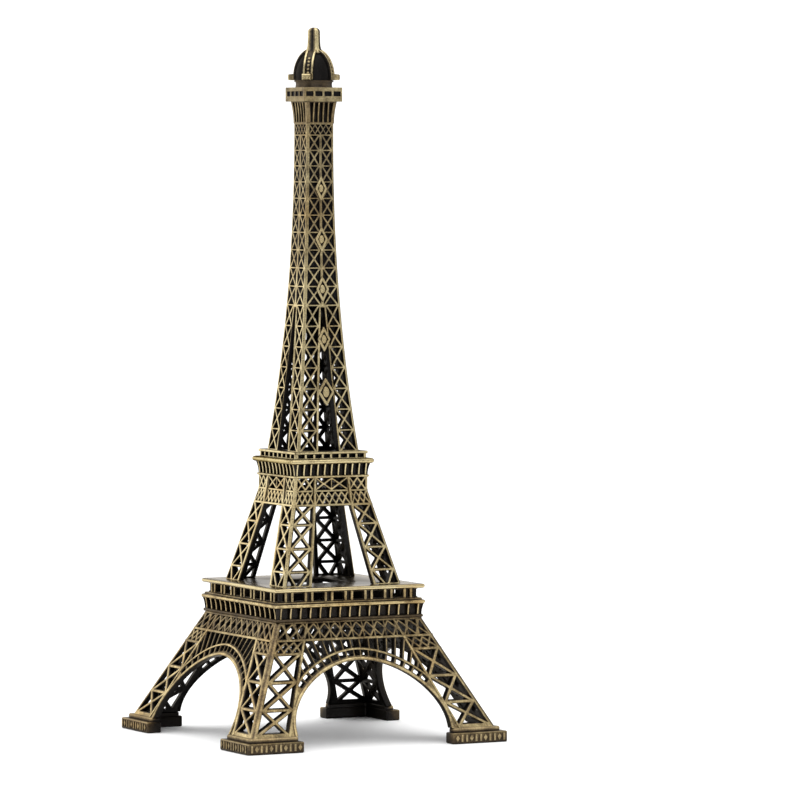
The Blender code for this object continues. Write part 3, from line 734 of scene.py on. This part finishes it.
# ---- base faces


LEG_STILE = 2.1  # at the corner
LEG_INNER_STILE = 1.3
ARCH_CELLS = 21
ARCH_CELLS_REACH = math.radians(66)  # to each side of the crown
ARCH_CELL_BAR = math.radians(0.8)  # half of the bar between two cells
ARCH_RING_REACH = math.radians(57)
STRUT_PITCH = 3.4
STRUT_HALF = 0.42
STRUT_FAN = 0.018  # growth of the pitch for each millimetre above STRUT_LEVEL
STRUT_LEVEL = 33.0


def arch_point(angle, offset):
    """A point outside the arch's opening by an offset; angle is 0 at the crown."""
    share = 2.0 / ARCH_POWER
    across = math.copysign(abs(math.sin(angle)) ** share, angle)
    up = max(0.0, math.cos(angle)) ** share
    return (ARCH_HALF_SPAN + offset) * across, ARCH_SPRING + (ARCH_RISE + offset) * up


def arch_height(u, offset):
    share = min(1.0, abs(u) / (ARCH_HALF_SPAN + offset))
    return ARCH_SPRING + (ARCH_RISE + offset) * (1.0 - share**ARCH_POWER) ** (1.0 / ARCH_POWER)


def arch_limit(angle, wanted):
    """The offset wanted, or the one where the leg's inner edge is met first, found by halving."""
    low, high = 0.0, wanted
    u, z = arch_point(angle, high)
    if abs(u) <= leg_inner(z):
        return high
    for _ in range(30):
        middle = (low + high) / 2
        u, z = arch_point(angle, middle)
        low, high = (middle, high) if abs(u) <= leg_inner(z) else (low, middle)
    return low


def arch_cells(least=0.35):
    """Windows between the arch's rim and its outer ring, about as wide as they are high."""
    found = []
    pitch = 2 * ARCH_CELLS_REACH / ARCH_CELLS
    for i in range(ARCH_CELLS):
        start = pitch * i - ARCH_CELLS_REACH + ARCH_CELL_BAR
        end = pitch * (i + 1) - ARCH_CELLS_REACH - ARCH_CELL_BAR
        out_start, out_end = arch_limit(start, ARCH_RING_IN), arch_limit(end, ARCH_RING_IN)
        if min(out_start, out_end) - ARCH_RIM >= least:
            corners = ((end, ARCH_RIM), (end, out_end), (start, out_start), (start, ARCH_RIM))
            found.append([arch_point(*corner) for corner in corners])
    return found


def spandrel_cells(steps=6, least=0.4):
    """Windows between the arch's outer ring, the belt and the leg, parted by struts that fan out."""
    found = []
    top = BELT_LOW - 0.5
    for i in range(10):
        spread = lambda z: STRUT_PITCH * (1 + STRUT_FAN * (z - STRUT_LEVEL))
        near = lambda z: (i - 0.5) * spread(z) + STRUT_HALF
        far = lambda z: (i + 0.5) * spread(z) - STRUT_HALF
        floor = []
        for k in range(steps + 1):
            u, z = 0.0, ARCH_SPRING + ARCH_RISE
            for _ in range(12):  # each pass brings the point closer to the ring
                u = mix(near(z), far(z), k / steps)
                z = arch_height(u, ARCH_RING_OUT) + 0.1
            floor.append((u, z))
        window = floor + [(far(top), top), (near(top), top)]
        if i == 0:
            window = [(0.0, arch_height(0.0, ARCH_RING_OUT) + 0.1)] + [q for q in window if q[0] > 0.05]
            found.append(window + mirrored(window[1:]))
            continue
        window = clip(window, lambda u, z: leg_inner(z) - 0.1 - u)
        if len(window) > 2 and area(window) > least:
            found += both_sides([window])
    return found


def leg_cells():
    """Braced windows of both base legs and of the short belt above each."""
    left = lambda z: leg_inner(z) + LEG_INNER_STILE
    right = lambda z: base_half(z) - LEG_STILE
    belt = lattice_row(left, right, SUB_BELT_LOW + 0.6, BELT_LOW - 0.55, 3, 0.95)
    return both_sides(braced_leg(LEG_LEVELS, left, right, 0.6, 1.2) + belt)


def belt_cells():
    """Thirteen X's over the whole width, each with an upright through its crossing."""
    edge = lambda z: base_half(z) - LEG_STILE
    return lattice_row(lambda z: -edge(z), edge, BELT_LOW + 0.45, BASE_TOP - 0.7, 13, 0.92, 0.8)


def base_wear(u, z):
    """The legs and rims are rubbed bright; the belt and the thin struts stay duller."""
    if z > BELT_LOW - 0.3:
        return 0.72
    if abs(u) < leg_inner(z) - 0.3:
        return 0.7
    return 0.78 if z > SUB_BELT_LOW + 0.4 else 0.9


def half_turn(reach, offset, steps):
    """Points of the arch from right to left, over an angle to each side of the crown."""
    return [arch_point(reach * (1 - 2 * i / steps), offset) for i in range(steps + 1)]


def arch_rim(shape, steps=72):
    """The rounded inner rim and the slim outer ring of the arch, proud of the face."""
    foot = BASE_BOTTOM + 0.05
    path = [(ARCH_HALF_SPAN, foot)] + half_turn(math.pi / 2, 0.0, steps) + [(-ARCH_HALF_SPAN, foot)]
    radius, proud = 0.6, 0.45
    section = []
    for i in range(9):
        angle = math.pi * i / 8
        rub = 0.2 + 0.8 * math.sin(angle)
        section.append((-radius + radius * math.cos(angle), -proud * math.sin(angle), rub))
    section += [(-2 * radius, BASE_DEPTH, 0.0), (0.12, BASE_DEPTH, 0.0), (0.12, 0.9, 0.1)]
    face_strip(shape, path, section, base_half)
    ring = half_turn(ARCH_RING_REACH, (ARCH_RING_IN + ARCH_RING_OUT) / 2, steps)
    bead(shape, [p for p in ring if abs(p[0]) < leg_inner(p[1]) + 0.6], 0.42, 0.22, base_half, 0.95)


def bead(shape, path, width, proud, half, wear_and_shade_level):
    """A low bar with sloping sides along a path on a tower face; width is half the bar's."""
    crest = 0.62 * width
    section = [(width, 0.3, 0.15), (crest, -proud, wear_and_shade_level), (-crest, -proud, wear_and_shade_level), (-width, 0.3, 0.15)]
    face_strip(shape, path, section, half)


def make_base():
    low, high = BASE_BOTTOM, BASE_TOP
    right = [(ARCH_HALF_SPAN, low), (base_half(low), low), (base_half(high), high)]
    arch = [(-u, z) for u, z in half_turn(math.pi / 2, 0.0, 48)]
    windows = leg_cells() + arch_cells() + spandrel_cells() + belt_cells()
    shape = Shape()
    plate(shape, right + mirrored(right) + arch, windows, base_half, BASE_DEPTH, edge=0.3, corner=1.15,
          band=0.6, wear_and_shade_level=base_wear)
    arch_rim(shape)
    inner = lambda z: leg_inner(z) + LEG_INNER_STILE / 2 - 0.01
    for sign in (-1, 1):
        for foot, head, width, proud, wear_and_shade_level in ((low + 0.05, BELT_LOW, 0.52, 0.26, 1.0),
                                               (BELT_LOW, high - 0.4, 0.5, 0.16, 0.75)):
            bead(shape, [(sign * inner(z), z) for z in (foot, head)], width, proud, base_half, wear_and_shade_level)
    for z, width, wear_and_shade_level in ((BELT_LOW, 0.5, 0.85), (high - 0.35, 0.35, 0.6), (SUB_BELT_LOW, 0.45, 0.8)):
        reach = base_half(z) - 1.4
        if z > SUB_BELT_LOW:
            bead(shape, [(-reach, z), (reach, z)], width, 0.2, base_half, wear_and_shade_level)
            continue
        for sign in (-1, 1):
            bead(shape, [(sign * leg_inner(z), z), (sign * reach, z)], width, 0.15, base_half, wear_and_shade_level)
    four_sides(shape, "base_casting_", "base_panel_", BRONZE_LOW)


# ---- first gallery

GALLERY_INNER = 25.3
PILLAR_PITCH = 7.8  # from one pair of pillars to the next
PILLARS_APART = 2.5
PILLAR_ROOT = 25.7  # half width of the square on which the pillars and corner posts end


def frieze(shape, low, high, wall, foot, head, reach, bays, width, wear_and_shade_level, post, corner_rub, rub=0.12):
    """A recessed wall behind slim ribs, whose profile runs from foot to head, out to reach.

    Width is a rib's, and post that of the faces at each corner.
    """
    steps = 5
    shares = [i / steps for i in range(steps + 1)]
    profile = [(mix(foot, head, t**1.8), mix(low, high, t)) for t in shares]
    back = wall - 1.2
    square_ring(shape, [(wall, low, rub), (wall, high, rub), (back, high, 0.0), (back, low, 0.0)], 0.05)
    face = Shape()
    root = wall - 0.2
    for i in range(bays + 1):
        rib(face, -reach + 2 * reach * i / bays, width, profile, root, wear_and_shade_level=wear_and_shade_level)
    shape.join(face.all_round())
    rings = []
    clip_off = min(0.3, post * 0.4)
    for half, z in profile:
        cut, inner = -half + clip_off, post - half
        rings.append([(-half, cut, z), (cut, -half, z), (inner, -half, z), (inner, -root, z),
                      (-root, -root, z), (-root, inner, z), (-half, inner, z)])
    corner = Shape()
    loft(corner, rings, corner_rub)
    shape.join(corner.all_round())


def make_first_gallery():
    low, high = heights("first_frieze")
    shape = Shape()
    moulding(shape, 29.0, GALLERY_INNER, low - 0.1, low + 1.1, 0.55, 0.5)
    frieze(shape, low + 1.0, high + 0.2, wall=27.4, foot=28.5, head=29.1, reach=27.0, bays=14, width=0.6,
           wear_and_shade_level=1.05, post=0.4, corner_rub=0.25, rub=0.2)
    shape.piece("first_frieze_casting", "first_frieze", "dark_bronze", BRONZE_DULL, 40)

    low, high = heights("first_gallery_ledge")
    shape = Shape()
    section = [(28.6, low, 0.3)] + round_edge(29.5, low + 0.15, low + 1.55, 0.6, 1.05)
    section += [(28.7, low + 1.6, 0.3), (28.6, high - 0.15, 0.8), (28.45, high, 0.7)]
    section += [(GALLERY_INNER, high, 0.1), (GALLERY_INNER, low, 0.0)]
    square_ring(shape, section, 0.3)
    shape.piece("first_ledge_casting", "first_gallery_ledge", "antique_bronze", BRONZE_LOW, 40)

    make_colonnade()

    low, high = heights("first_platform")
    well = 10.0
    shape = Shape()
    section = round_edge(29.4, low, high, 0.62, 1.1) + [(26.4, high, 0.8), (21.0, high - 0.04, 0.4)]
    section += [(well + 0.3, high - 0.04, 0.3), (well, high - 0.3, 0.2), (well, low, 0.0)]
    square_ring(shape, section, 0.35)
    shape.piece("first_platform_casting", "first_platform", "antique_bronze", BRONZE_GLOSS, 40)


def make_colonnade():
    """Pairs of pillars in front of a narrow web, with nothing but a dark, set-back post at the corners."""
    low, high = heights("first_colonnade")
    half = span("first_colonnade")[1].x + 0.8
    rail, back = half - 0.3, PILLAR_ROOT - 0.3
    shape = Shape()
    for start, end in ((low, low + 0.4), (high - 0.35, high)):
        section = [(rail, start, 0.35), (rail, end, 0.35), (back, end, 0.0), (back, start, 0.0)]
        square_ring(shape, section, 0.3)
    low, high = low + 0.1, high - 0.1
    face = Shape()
    post = rectangle(-half + 0.7, -PILLAR_ROOT, -half + 0.7, -PILLAR_ROOT)
    prism(face, post, low, high, 0.12)
    for i in range(-3, 4):
        u = PILLAR_PITCH * i
        for aside in (-PILLARS_APART / 2, PILLARS_APART / 2):
            rib(face, u + aside, 0.98, [(half, low), (half, high)], PILLAR_ROOT, 0.14, 0.9)
        web = half - 0.9
        rib(face, u, PILLARS_APART - 0.5, [(web, low), (web, high)], PILLAR_ROOT, 0.05, 0.2)
    shape.join(face.all_round())
    shape.piece("first_colonnade_casting", "first_colonnade", "antique_bronze", BRONZE_LOW)


# ---- middle section

MID_STILE = 1.2  # at the corner
MID_INNER_STILE = 1.3
MID_STILE_LEAN = 0.012  # how far the inner stiles close in, for each millimetre of the belts


def mid_leg_cells(least=0.2):
    left = lambda z: mid_leg_inner(z) + MID_INNER_STILE
    right = lambda z: mid_half(z) - MID_STILE
    cells = braced_leg(MID_LEVELS, left, right, 0.48, 0.98)
    cells = [clip(window, lambda u, z: z - MID_BOTTOM - 0.35) for window in cells]
    return both_sides([window for window in cells if len(window) > 2 and area(window) > least])


def mid_stile(z):
    """Inner edge of a leg's inner stile, which runs on up through both belts."""
    return mid_leg_inner(min(z, MID_BELT_LOW)) * (1 - MID_STILE_LEAN * max(0.0, z - MID_BELT_LOW))


def mid_belt_cells():
    """The lower belt has a row of X's over its middle, and the upper one has two wide X's."""
    left = lambda z: mid_stile(z) + 1.1
    right = lambda z: mid_half(z) - MID_STILE
    low, high, brace = MID_BELT_LOW + 0.55, MID_BELT_HIGH - 0.4, 0.8
    found = both_sides(lattice_row(left, right, low, high, 3, brace))
    found += lattice_row(lambda z: -mid_stile(z), mid_stile, low, high, 5, brace)
    low, high, brace = MID_BELT_HIGH + 0.4, MID_TOP - 0.4, 0.85
    found += both_sides(lattice_row(left, right, low, high, 2, brace))
    corners = quad(lambda z: 0.0, mid_stile, low, high)
    return found + both_sides(braced_cell(corners, (0.0, 0.0, 0.0, 0.3), brace))


def make_middle():
    crown = MID_BELT_LOW - 0.5
    right = [(mid_leg_inner(MID_BOTTOM), MID_BOTTOM), (mid_half(MID_BOTTOM), MID_BOTTOM),
             (mid_half(MID_BELT_HIGH), MID_BELT_HIGH), (mid_half(MID_TOP), MID_TOP)]
    outline = right + mirrored(right) + [(-mid_leg_inner(crown), crown), (mid_leg_inner(crown), crown)]
    shape = Shape()
    plate(shape, outline, mid_leg_cells() + mid_belt_cells(), mid_half, MID_DEPTH, folds=((2, 5),),
          edge=0.29, corner=0.7, wear_and_shade_level=lambda u, z: 1.05 if z > MID_BELT_LOW else 1.0)
    for sign in (-1, 1):
        levels = (MID_BOTTOM + 0.05, MID_BELT_LOW, MID_TOP - 0.05)
        path = [(sign * (mid_stile(z) + 0.62), z) for z in levels]
        bead(shape, path, 0.52, 0.15, mid_half, 1.0)
    for z, wear_and_shade_level in ((MID_BELT_LOW + 0.02, 1.0), (MID_BELT_HIGH, 0.95)):
        reach = mid_half(z) - 0.8
        bead(shape, [(-reach, z), (reach, z)], 0.4, 0.16, mid_half, wear_and_shade_level)
    four_sides(shape, "middle_casting_", "middle_panel_", BRONZE)


# ---- second gallery

LEDGE2_HALF = 16.2
LEDGE2_INNER = 10.2
RAILING_WINDOWS = 8
RAILING_POST_HALF = 0.45


def make_second_gallery():
    low, high = heights("second_frieze")
    shape = Shape()
    moulding(shape, 14.85, LEDGE2_INNER + 0.2, low - 0.3, low + 0.6, 0.42, 0.9)
    frieze(shape, low + 0.5, high + 0.2, wall=13.4, foot=14.35, head=15.1, reach=13.55, bays=10,
           width=0.58, wear_and_shade_level=1.1, post=0.3, corner_rub=0.12)
    shape.piece("second_frieze_casting", "second_frieze", "dark_bronze", BRONZE, 40)

    low, high = heights("second_gallery_ledge")
    shape = Shape()
    section = round_edge(LEDGE2_HALF, low, high, 0.85, 1.05, 6)
    section += [(LEDGE2_HALF - 2.0, high, 0.0), (LEDGE2_INNER, high, 0.0), (LEDGE2_INNER, low, 0.0)]
    square_ring(shape, section, 0.6)
    shape.piece("second_ledge_casting", "second_gallery_ledge", "antique_bronze", BRONZE_LEDGE, 40)
    make_railing()


def make_railing():
    low, high = heights("second_railing_front")
    half = -span("second_railing_front")[0].y
    flat = lambda z: half
    pitch = 2 * (half - 0.7) / RAILING_WINDOWS
    windows = []
    for i in range(RAILING_WINDOWS):
        u = (i - RAILING_WINDOWS / 2) * pitch
        near, far = u + RAILING_POST_HALF, u + pitch - RAILING_POST_HALF
        windows.append(rectangle(near, far, low + 0.35, high - 0.85))
    shape = Shape()
    outline = [(half, low), (half, high), (-half, high), (-half, low)]
    plate(shape, outline, windows, flat, 1.4, edge=0.12, draft=0.05, corner=0.4, rounding=0.15)
    cap = [(0.5, 0.3, 0.3), (0.38, -0.3, 0.8), (0.1, -0.42, 1.05), (-0.25, -0.42, 1.05),
           (-0.42, -0.25, 0.7), (-0.5, 0.3, 0.2)]
    reach = half + 0.05
    face_strip(shape, [(-reach, high - 0.42), (reach, high - 0.42)], cap, flat)
    four_sides(shape, "second_railing_casting_", "second_railing_", BRONZE)


# ---- shaft

SHAFT_STILE = 1.05  # at the corner
SHAFT_INNER_STILE = 0.85
SHAFT_MIDDLE_STILE = 0.58  # half of the one above the join
SHAFT_SINK = 0.7  # depth of the blind windows
LOZENGES = ((188.8, 198.0, 4.8), (170.9, 180.2, 5.0), (153.2, 162.8, 5.2), (135.8, 145.0, 5.2),
            (116.8, 127.0, 6.6))  # foot, head and width of each on the front face


def shaft_cells():
    """Through windows below the join, blind ones above it."""
    brace, bar = 0.74, 0.32
    levels = shaft_levels()
    right = lambda z: shaft_half(z) - SHAFT_STILE
    through, blind = [], []
    for row in zip(levels, levels[1:]):
        if row[0] < SHAFT_JOIN - TOUCH:
            left = lambda z: shaft_slot(z) + SHAFT_INNER_STILE
            through += both_sides(braced_leg(row, left, right, bar, brace))
        else:
            blind += both_sides(braced_leg(row, lambda z: SHAFT_MIDDLE_STILE, right, bar, brace))
    edge = lambda z: shaft_half(z) - 1.0
    blind += lattice_row(lambda z: -edge(z), edge, SHAFT_LAST_BAR + 0.4, SHAFT_TOP - 0.45, 4, 0.56)
    slot_top = SHAFT_JOIN - 0.8
    slot = [(shaft_slot(SHAFT_FIRST_BAR), SHAFT_FIRST_BAR), (shaft_slot(slot_top), slot_top)]
    through.append(slot + mirrored(slot))
    return through, blind


def medallion(shape, low, high, width):
    """A plain lozenge with a raised rim, a dark floor and a stud."""
    middle = (low + high) / 2
    outline = round_polygon(lozenge(0, middle, width / 2, middle - low), 0.5, 2)
    rim = ((0.0, -0.5, 0.0), (0.0, 0.3, 0.4), (0.15, 0.5, 1.05), (0.85, 0.5, 1.05), (1.0, 0.1, 0.12))
    relief(shape, outline, shaft_half, rim)
    across, up = 0.2 * width, 0.3 * width
    angles = [math.pi / 6 * i for i in range(12)]
    stud = [(across * math.cos(a), middle + up * math.sin(a)) for a in angles]
    boss(shape, stud, shaft_half, 0.45, 1.05, 0.2, 0.0)


def shaft_wear_and_shade(u, z):
    """The corners are rubbed brightest, the lattice gets duller towards the top, and the foot, seen through
    the railing, is painted dark as shade.
    """
    # painted shade: the foot band behind the second railing is made dark
    if z < SHAFT_FIRST_BAR - 0.5:
        return -0.4
    fade = 0.2 * min(1.0, max(0.0, (z - SHAFT_JOIN) / 40.0))
    return (1.0 if abs(u) > shaft_half(z) - 1.1 else 0.9) - fade


def make_shaft():
    through, blind = shaft_cells()
    levels = [SHAFT_BOTTOM] + shaft_levels() + [SHAFT_TOP]
    right = [(shaft_half(z), z) for z in levels]
    outline = right + mirrored(right)
    last = len(outline) - 1
    folds = [(i, last - i) for i, z in enumerate(levels) if SHAFT_JOIN - TOUCH < z < SHAFT_TOP - TOUCH]
    shape = Shape()
    plate(shape, outline, through, shaft_half, SHAFT_DEPTH, blind, SHAFT_SINK, folds, edge=0.18,
          draft=0.35, corner=0.55, rounding=0.2, wear_and_shade_level=shaft_wear_and_shade)
    front = Shape().join(shape)
    for low, high, width in LOZENGES:
        medallion(front, low, high, width)
    for turn, side in enumerate(SIDES):
        chosen = shape if turn else front
        chosen.turned(turn).piece("shaft_casting_" + side, "shaft_panel_" + side, "antique_bronze", BRONZE)


# ---- head

COLLAR_BORE = 3.8
PANES = 4
DOME_SPRING = 232.5
DOME_RISE = 9.6  # to where the dome's curve would close, inside the finial
RIB_EDGE = ((-1.82, -0.35, 0.0), (-1.85, 0.5, 0.35), (-1.7, 0.68, 1.0), (-1.15, 0.68, 1.0),
            (-0.95, 0.3, 0.2))  # across, height above the dome and wear
RIB_SECTION = RIB_EDGE + tuple((-y, lift, value) for y, lift, value in reversed(RIB_EDGE))


def make_collar():
    low, high = heights("top_collar")
    head = span("top_collar")[1].x + SKIN
    shape = Shape()
    moulding(shape, 5.4, COLLAR_BORE, low, low + 0.5, 0.12, 0.7, 0.3, 2, 0.0)
    moulding(shape, head, COLLAR_BORE, high - 0.35, high, 0.12, 0.5, 0.3, 2, 0.0)
    frieze(shape, low + 0.4, high - 0.2, wall=4.75, foot=5.4, head=head, reach=2.85, bays=3, width=0.6,
           wear_and_shade_level=0.85, post=1.3, corner_rub=0.7)
    shape.piece("collar_casting", "top_collar", "dark_bronze", BRONZE_DULL, 40)


def make_cabin():
    """Four walls of blind windows; those of the left and right ones are narrower, and painted darker as
    shade.
    """
    low, high = heights("top_cabin")
    half = span("top_cabin")[1].x + SKIN / 2
    sill, head = high - 3.05, high - 1.45
    outline = [(half, low), (half, high), (-half, high), (-half, low)]
    shape = Shape()
    for turn in range(4):
        # the lower rub of the left and right walls is painted shade
        pitch, width, rub = (3.2, 2.55, 0.6) if turn % 2 else (3.6, 2.75, 0.8)
        middles = [(i - (PANES - 1) / 2) * pitch for i in range(PANES)]
        panes = [rectangle(u - width / 2, u + width / 2, sill, head) for u in middles]
        face = Shape()
        plate(face, outline, [], lambda z: half, 1.6, panes, 0.4, edge=0.1, draft=0.05, corner=0.16,
              rounding=0.15, wear_and_shade_level=lambda u, z: rub)
        shape.join(face.turned(turn))
    inner = half - 0.45
    for start, end in ((high - 0.5, high), (low, low + 0.6)):
        prism(shape, rectangle(-inner, inner, -inner, inner), start, end, 0.55)
    shape.piece("cabin_casting", "top_cabin", "antique_bronze", BRONZE, 40)


def dome_point(radius, angle, lift):
    """Radius and height of a point above the dome's quarter ellipse, along its normal."""
    across, up = math.cos(angle) * DOME_RISE, math.sin(angle) * radius
    size = math.hypot(across, up)
    height = DOME_SPRING + DOME_RISE * math.sin(angle)
    return radius * math.cos(angle) + lift * across / size, height + lift * up / size


def make_lantern():
    bottom, top = heights("lantern_drum")
    r = span("lantern_drum")[1].x
    shape = Shape()
    profile = [(r + 0.1, bottom, 0.5), (r, bottom + 0.25, 0.35), (r - 0.1, (bottom + top) / 2, 0.42)]
    profile += [(r, top - 0.65, 0.4), (r + 0.45, top - 0.5, 0.5), (r + 0.5, top - 0.15, 0.45)]
    turned_solid(shape, profile + [(r + 0.3, top, 0.2)])
    shape.piece("drum_casting", "lantern_drum", "dark_bronze", BRONZE_DULL, 40)

    bottom, top = heights("lantern_dome")
    radius = span("lantern_dome")[1].x
    reach = math.asin((top - DOME_SPRING) / DOME_RISE)
    shape = Shape()
    steps = 16
    curve = [dome_point(radius, reach * i / steps, 0.0) for i in range(steps + 1)]
    turned_solid(shape, [(radius, bottom, 0.15)] + [(r, z, 0.08) for r, z in curve])
    shape.piece("dome_casting", "lantern_dome", "black_patina", PATINA, 60)
    make_ribs(radius, bottom, reach)
    make_finial(top)


def make_ribs(radius, bottom, reach, steps=20):
    """Straps over the dome: two raised edges, a sunken middle with studs, and a block foot."""
    shape = Shape()
    rings, wear_and_shade = [], []
    for i in range(steps + 1):
        angle = reach * max(0, i - 1) / (steps - 1)
        brighter = 0.5 * max(0.0, i / steps - 0.4)
        ring = []
        for y, lift, value in RIB_SECTION:
            r, z = dome_point(radius, angle, lift)
            ring.append((r, y, z if i else bottom + 0.3))
            wear_and_shade.append(value + (brighter if abs(y) < 1.0 else 0.0))
        rings.append(ring)
    loft(shape, rings, wear_and_shade)
    outer = -span("lantern_rib_front_left")[0].x * math.sqrt(2) - 1.8
    foot, head = bottom + 0.05, bottom + 2.4
    block = []
    for gap, x, drop in ((0.0, radius - 0.6, 0.0), (0.0, outer - 0.3, 0.25), (0.25, outer, 0.3)):
        w = 1.58 - gap
        block.append([(x, y, z) for y, z in rectangle(-w, w, foot + gap, head - gap - drop)])
    loft(shape, block, [0.35, 0.75, 1.0])
    centre = (foot + head) / 2 - 0.15
    for y in (-0.7, 0.7):
        pad = []
        for x, size in ((outer - 0.1, 1.0), (outer + 0.14, 0.8)):
            w, h = 0.5 * size, 0.75 * size
            pad.append([(x, v, z) for v, z in rectangle(y - w, y + w, centre - h, centre + h)])
        loft(shape, pad, [0.3, 1.05])
    for share in (0.1, 0.2, 0.3, 0.4, 0.5):
        knot = []
        for size, lift in ((0.6, 0.2), (0.52, 0.55), (0.25, 0.75)):
            ring = []
            for i in range(8):
                a = 2 * math.pi * i / 8
                r, z = dome_point(radius, share * reach + size * math.sin(a) / DOME_RISE, lift)
                ring.append((r, size * math.cos(a), z))
            knot.append(ring)
        loft(shape, knot, [0.1, 0.5, 0.85])
    for i, corner in enumerate(CORNERS):
        made = shape.turned(2.5 + i)
        made.piece("rib_casting_" + corner, "lantern_rib_" + corner, "antique_bronze", BRONZE, 35)


def make_finial(bottom):
    radius, tip, steps = 2.25, 1.6, 9
    shape = Shape()
    profile = [(3.7, bottom - 1.0, 0.5), (3.1, bottom - 0.3, 0.8), (2.65, bottom + 0.6, 0.9),
               (2.42, bottom + 1.6, 0.9), (2.33, bottom + 3.0, 0.95), (radius, HEIGHT - tip, 1.0)]
    for i in range(1, steps):
        angle = math.pi / 2 * i / steps
        profile.append((radius * math.cos(angle) ** 0.8, HEIGHT - tip + tip * math.sin(angle), 0.95))
    turned_solid(shape, profile + [(0.1, HEIGHT, 0.9)], 64, 0.22)
    shape.piece("finial_casting", "finial", "antique_bronze", BRONZE, 35)


# ---- studio

LOOK_AT = (0, 0, 0.12)
CAMERA_TURN = -27.209  # degrees about the tower, from its front
CAMERA_RISE = 2.407
CAMERA_ROLL = 0.1815
CAMERA_ASIDE = 0.9207  # degrees by which it looks past the tower, to the right
CAMERA_TILT = -0.1875
CAMERA_DISTANCE = 1.9106
CAMERA_LENS = 243.35


def aimed(name, data, place, target):
    made = link(name, data)
    made.location = place
    made.rotation_euler = (Vector(target) - Vector(place)).to_track_quat("-Z", "Y").to_euler()
    return made


def area_light(name, place, target, size, power):
    data = bpy.data.lights.new(name, "AREA")
    data.shape = "RECTANGLE"
    data.size, data.size_y = size
    data.energy = power
    aimed(name, data, place, target)


def sheet(name, width, height, paint, shade):
    """A flat, dull grey sheet that faces up."""
    material = bpy.data.materials.new(paint)
    material.use_nodes = True
    shader = material.node_tree.nodes["Principled BSDF"]
    shader.inputs["Base Color"].default_value = (shade, shade, shade, 1.0)
    shader.inputs["Roughness"].default_value = 0.9
    corners = rectangle(-width / 2, width / 2, -height / 2, height / 2)
    mesh = bpy.data.meshes.new(name)
    mesh.from_pydata([(x, y, 0) for x, y in corners], [], [(0, 1, 2, 3)])
    mesh.materials.append(material)
    return mesh


def card(name, place, size, shade):
    """A dull card beside the camera that the metal reflects; it isn't in the picture."""
    made = aimed(name, sheet(name, *size, name + "_paint", shade), place, LOOK_AT)
    made.visible_camera = False


def make_studio():
    world = bpy.data.worlds.new("studio")
    bpy.context.scene.world = world
    world.use_nodes = True
    background = world.node_tree.nodes["Background"]
    background.inputs["Color"].default_value = (1.0, 1.0, 1.0, 1.0)
    background.inputs["Strength"].default_value = 1.28
    link("floor", sheet("floor", 12.0, 12.0, "floor_white", 0.95))
    card("card_right", (0.62, -1.05, 0.45), (1.1, 1.3), 0.48)
    card("card_left", (-1.05, -0.58, 0.5), (0.5, 1.1), 0.12)
    card("card_far_right", (1.1, 0.55, 0.4), (0.6, 1.1), 0.1)
    area_light("softbox_left", (-0.75, 1.5, 0.55), LOOK_AT, (0.9, 0.9), 2.0)
    area_light("softbox_top", (-0.2, -0.2, 1.8), (0, 0, 0), (2.2, 2.2), 16.0)
    bpy.context.scene.view_settings.view_transform = "Standard"


def upright_axes(ahead):
    """The directions to the right of and above a level camera that looks ahead."""
    right = ahead.cross(Vector((0, 0, 1))).normalized()
    return right, right.cross(ahead)


def make_camera():
    """The camera is low and far off, in front of the front left corner, and looks past the right."""
    turn, rise, roll = math.radians(CAMERA_TURN), math.radians(CAMERA_RISE), math.radians(CAMERA_ROLL)
    aside, tilt = math.radians(CAMERA_ASIDE), math.radians(CAMERA_TILT)
    back = Vector((math.sin(turn) * math.cos(rise), -math.cos(turn) * math.cos(rise), math.sin(rise)))
    across, up = upright_axes(-back)
    ahead = (-back + across * math.tan(aside) + up * math.tan(tilt)).normalized()
    across, up = upright_axes(ahead)
    right = across * math.cos(roll) + up * math.sin(roll)
    top = -across * math.sin(roll) + up * math.cos(roll)
    data = bpy.data.cameras.new("camera")
    data.lens = CAMERA_LENS
    data.sensor_width = 36.0
    data.clip_end = 50.0
    camera = link("camera", data)
    matrix = Matrix((right, top, -ahead)).transposed().to_4x4()
    matrix.translation = Vector((0, 0, HEIGHT * MM / 2)) + back * CAMERA_DISTANCE
    camera.matrix_world = matrix
    bpy.context.scene.camera = camera


make_shoes()
make_base()
make_first_gallery()
make_middle()
make_second_gallery()
make_shaft()
make_collar()
make_cabin()
make_lantern()
make_studio()
make_camera()
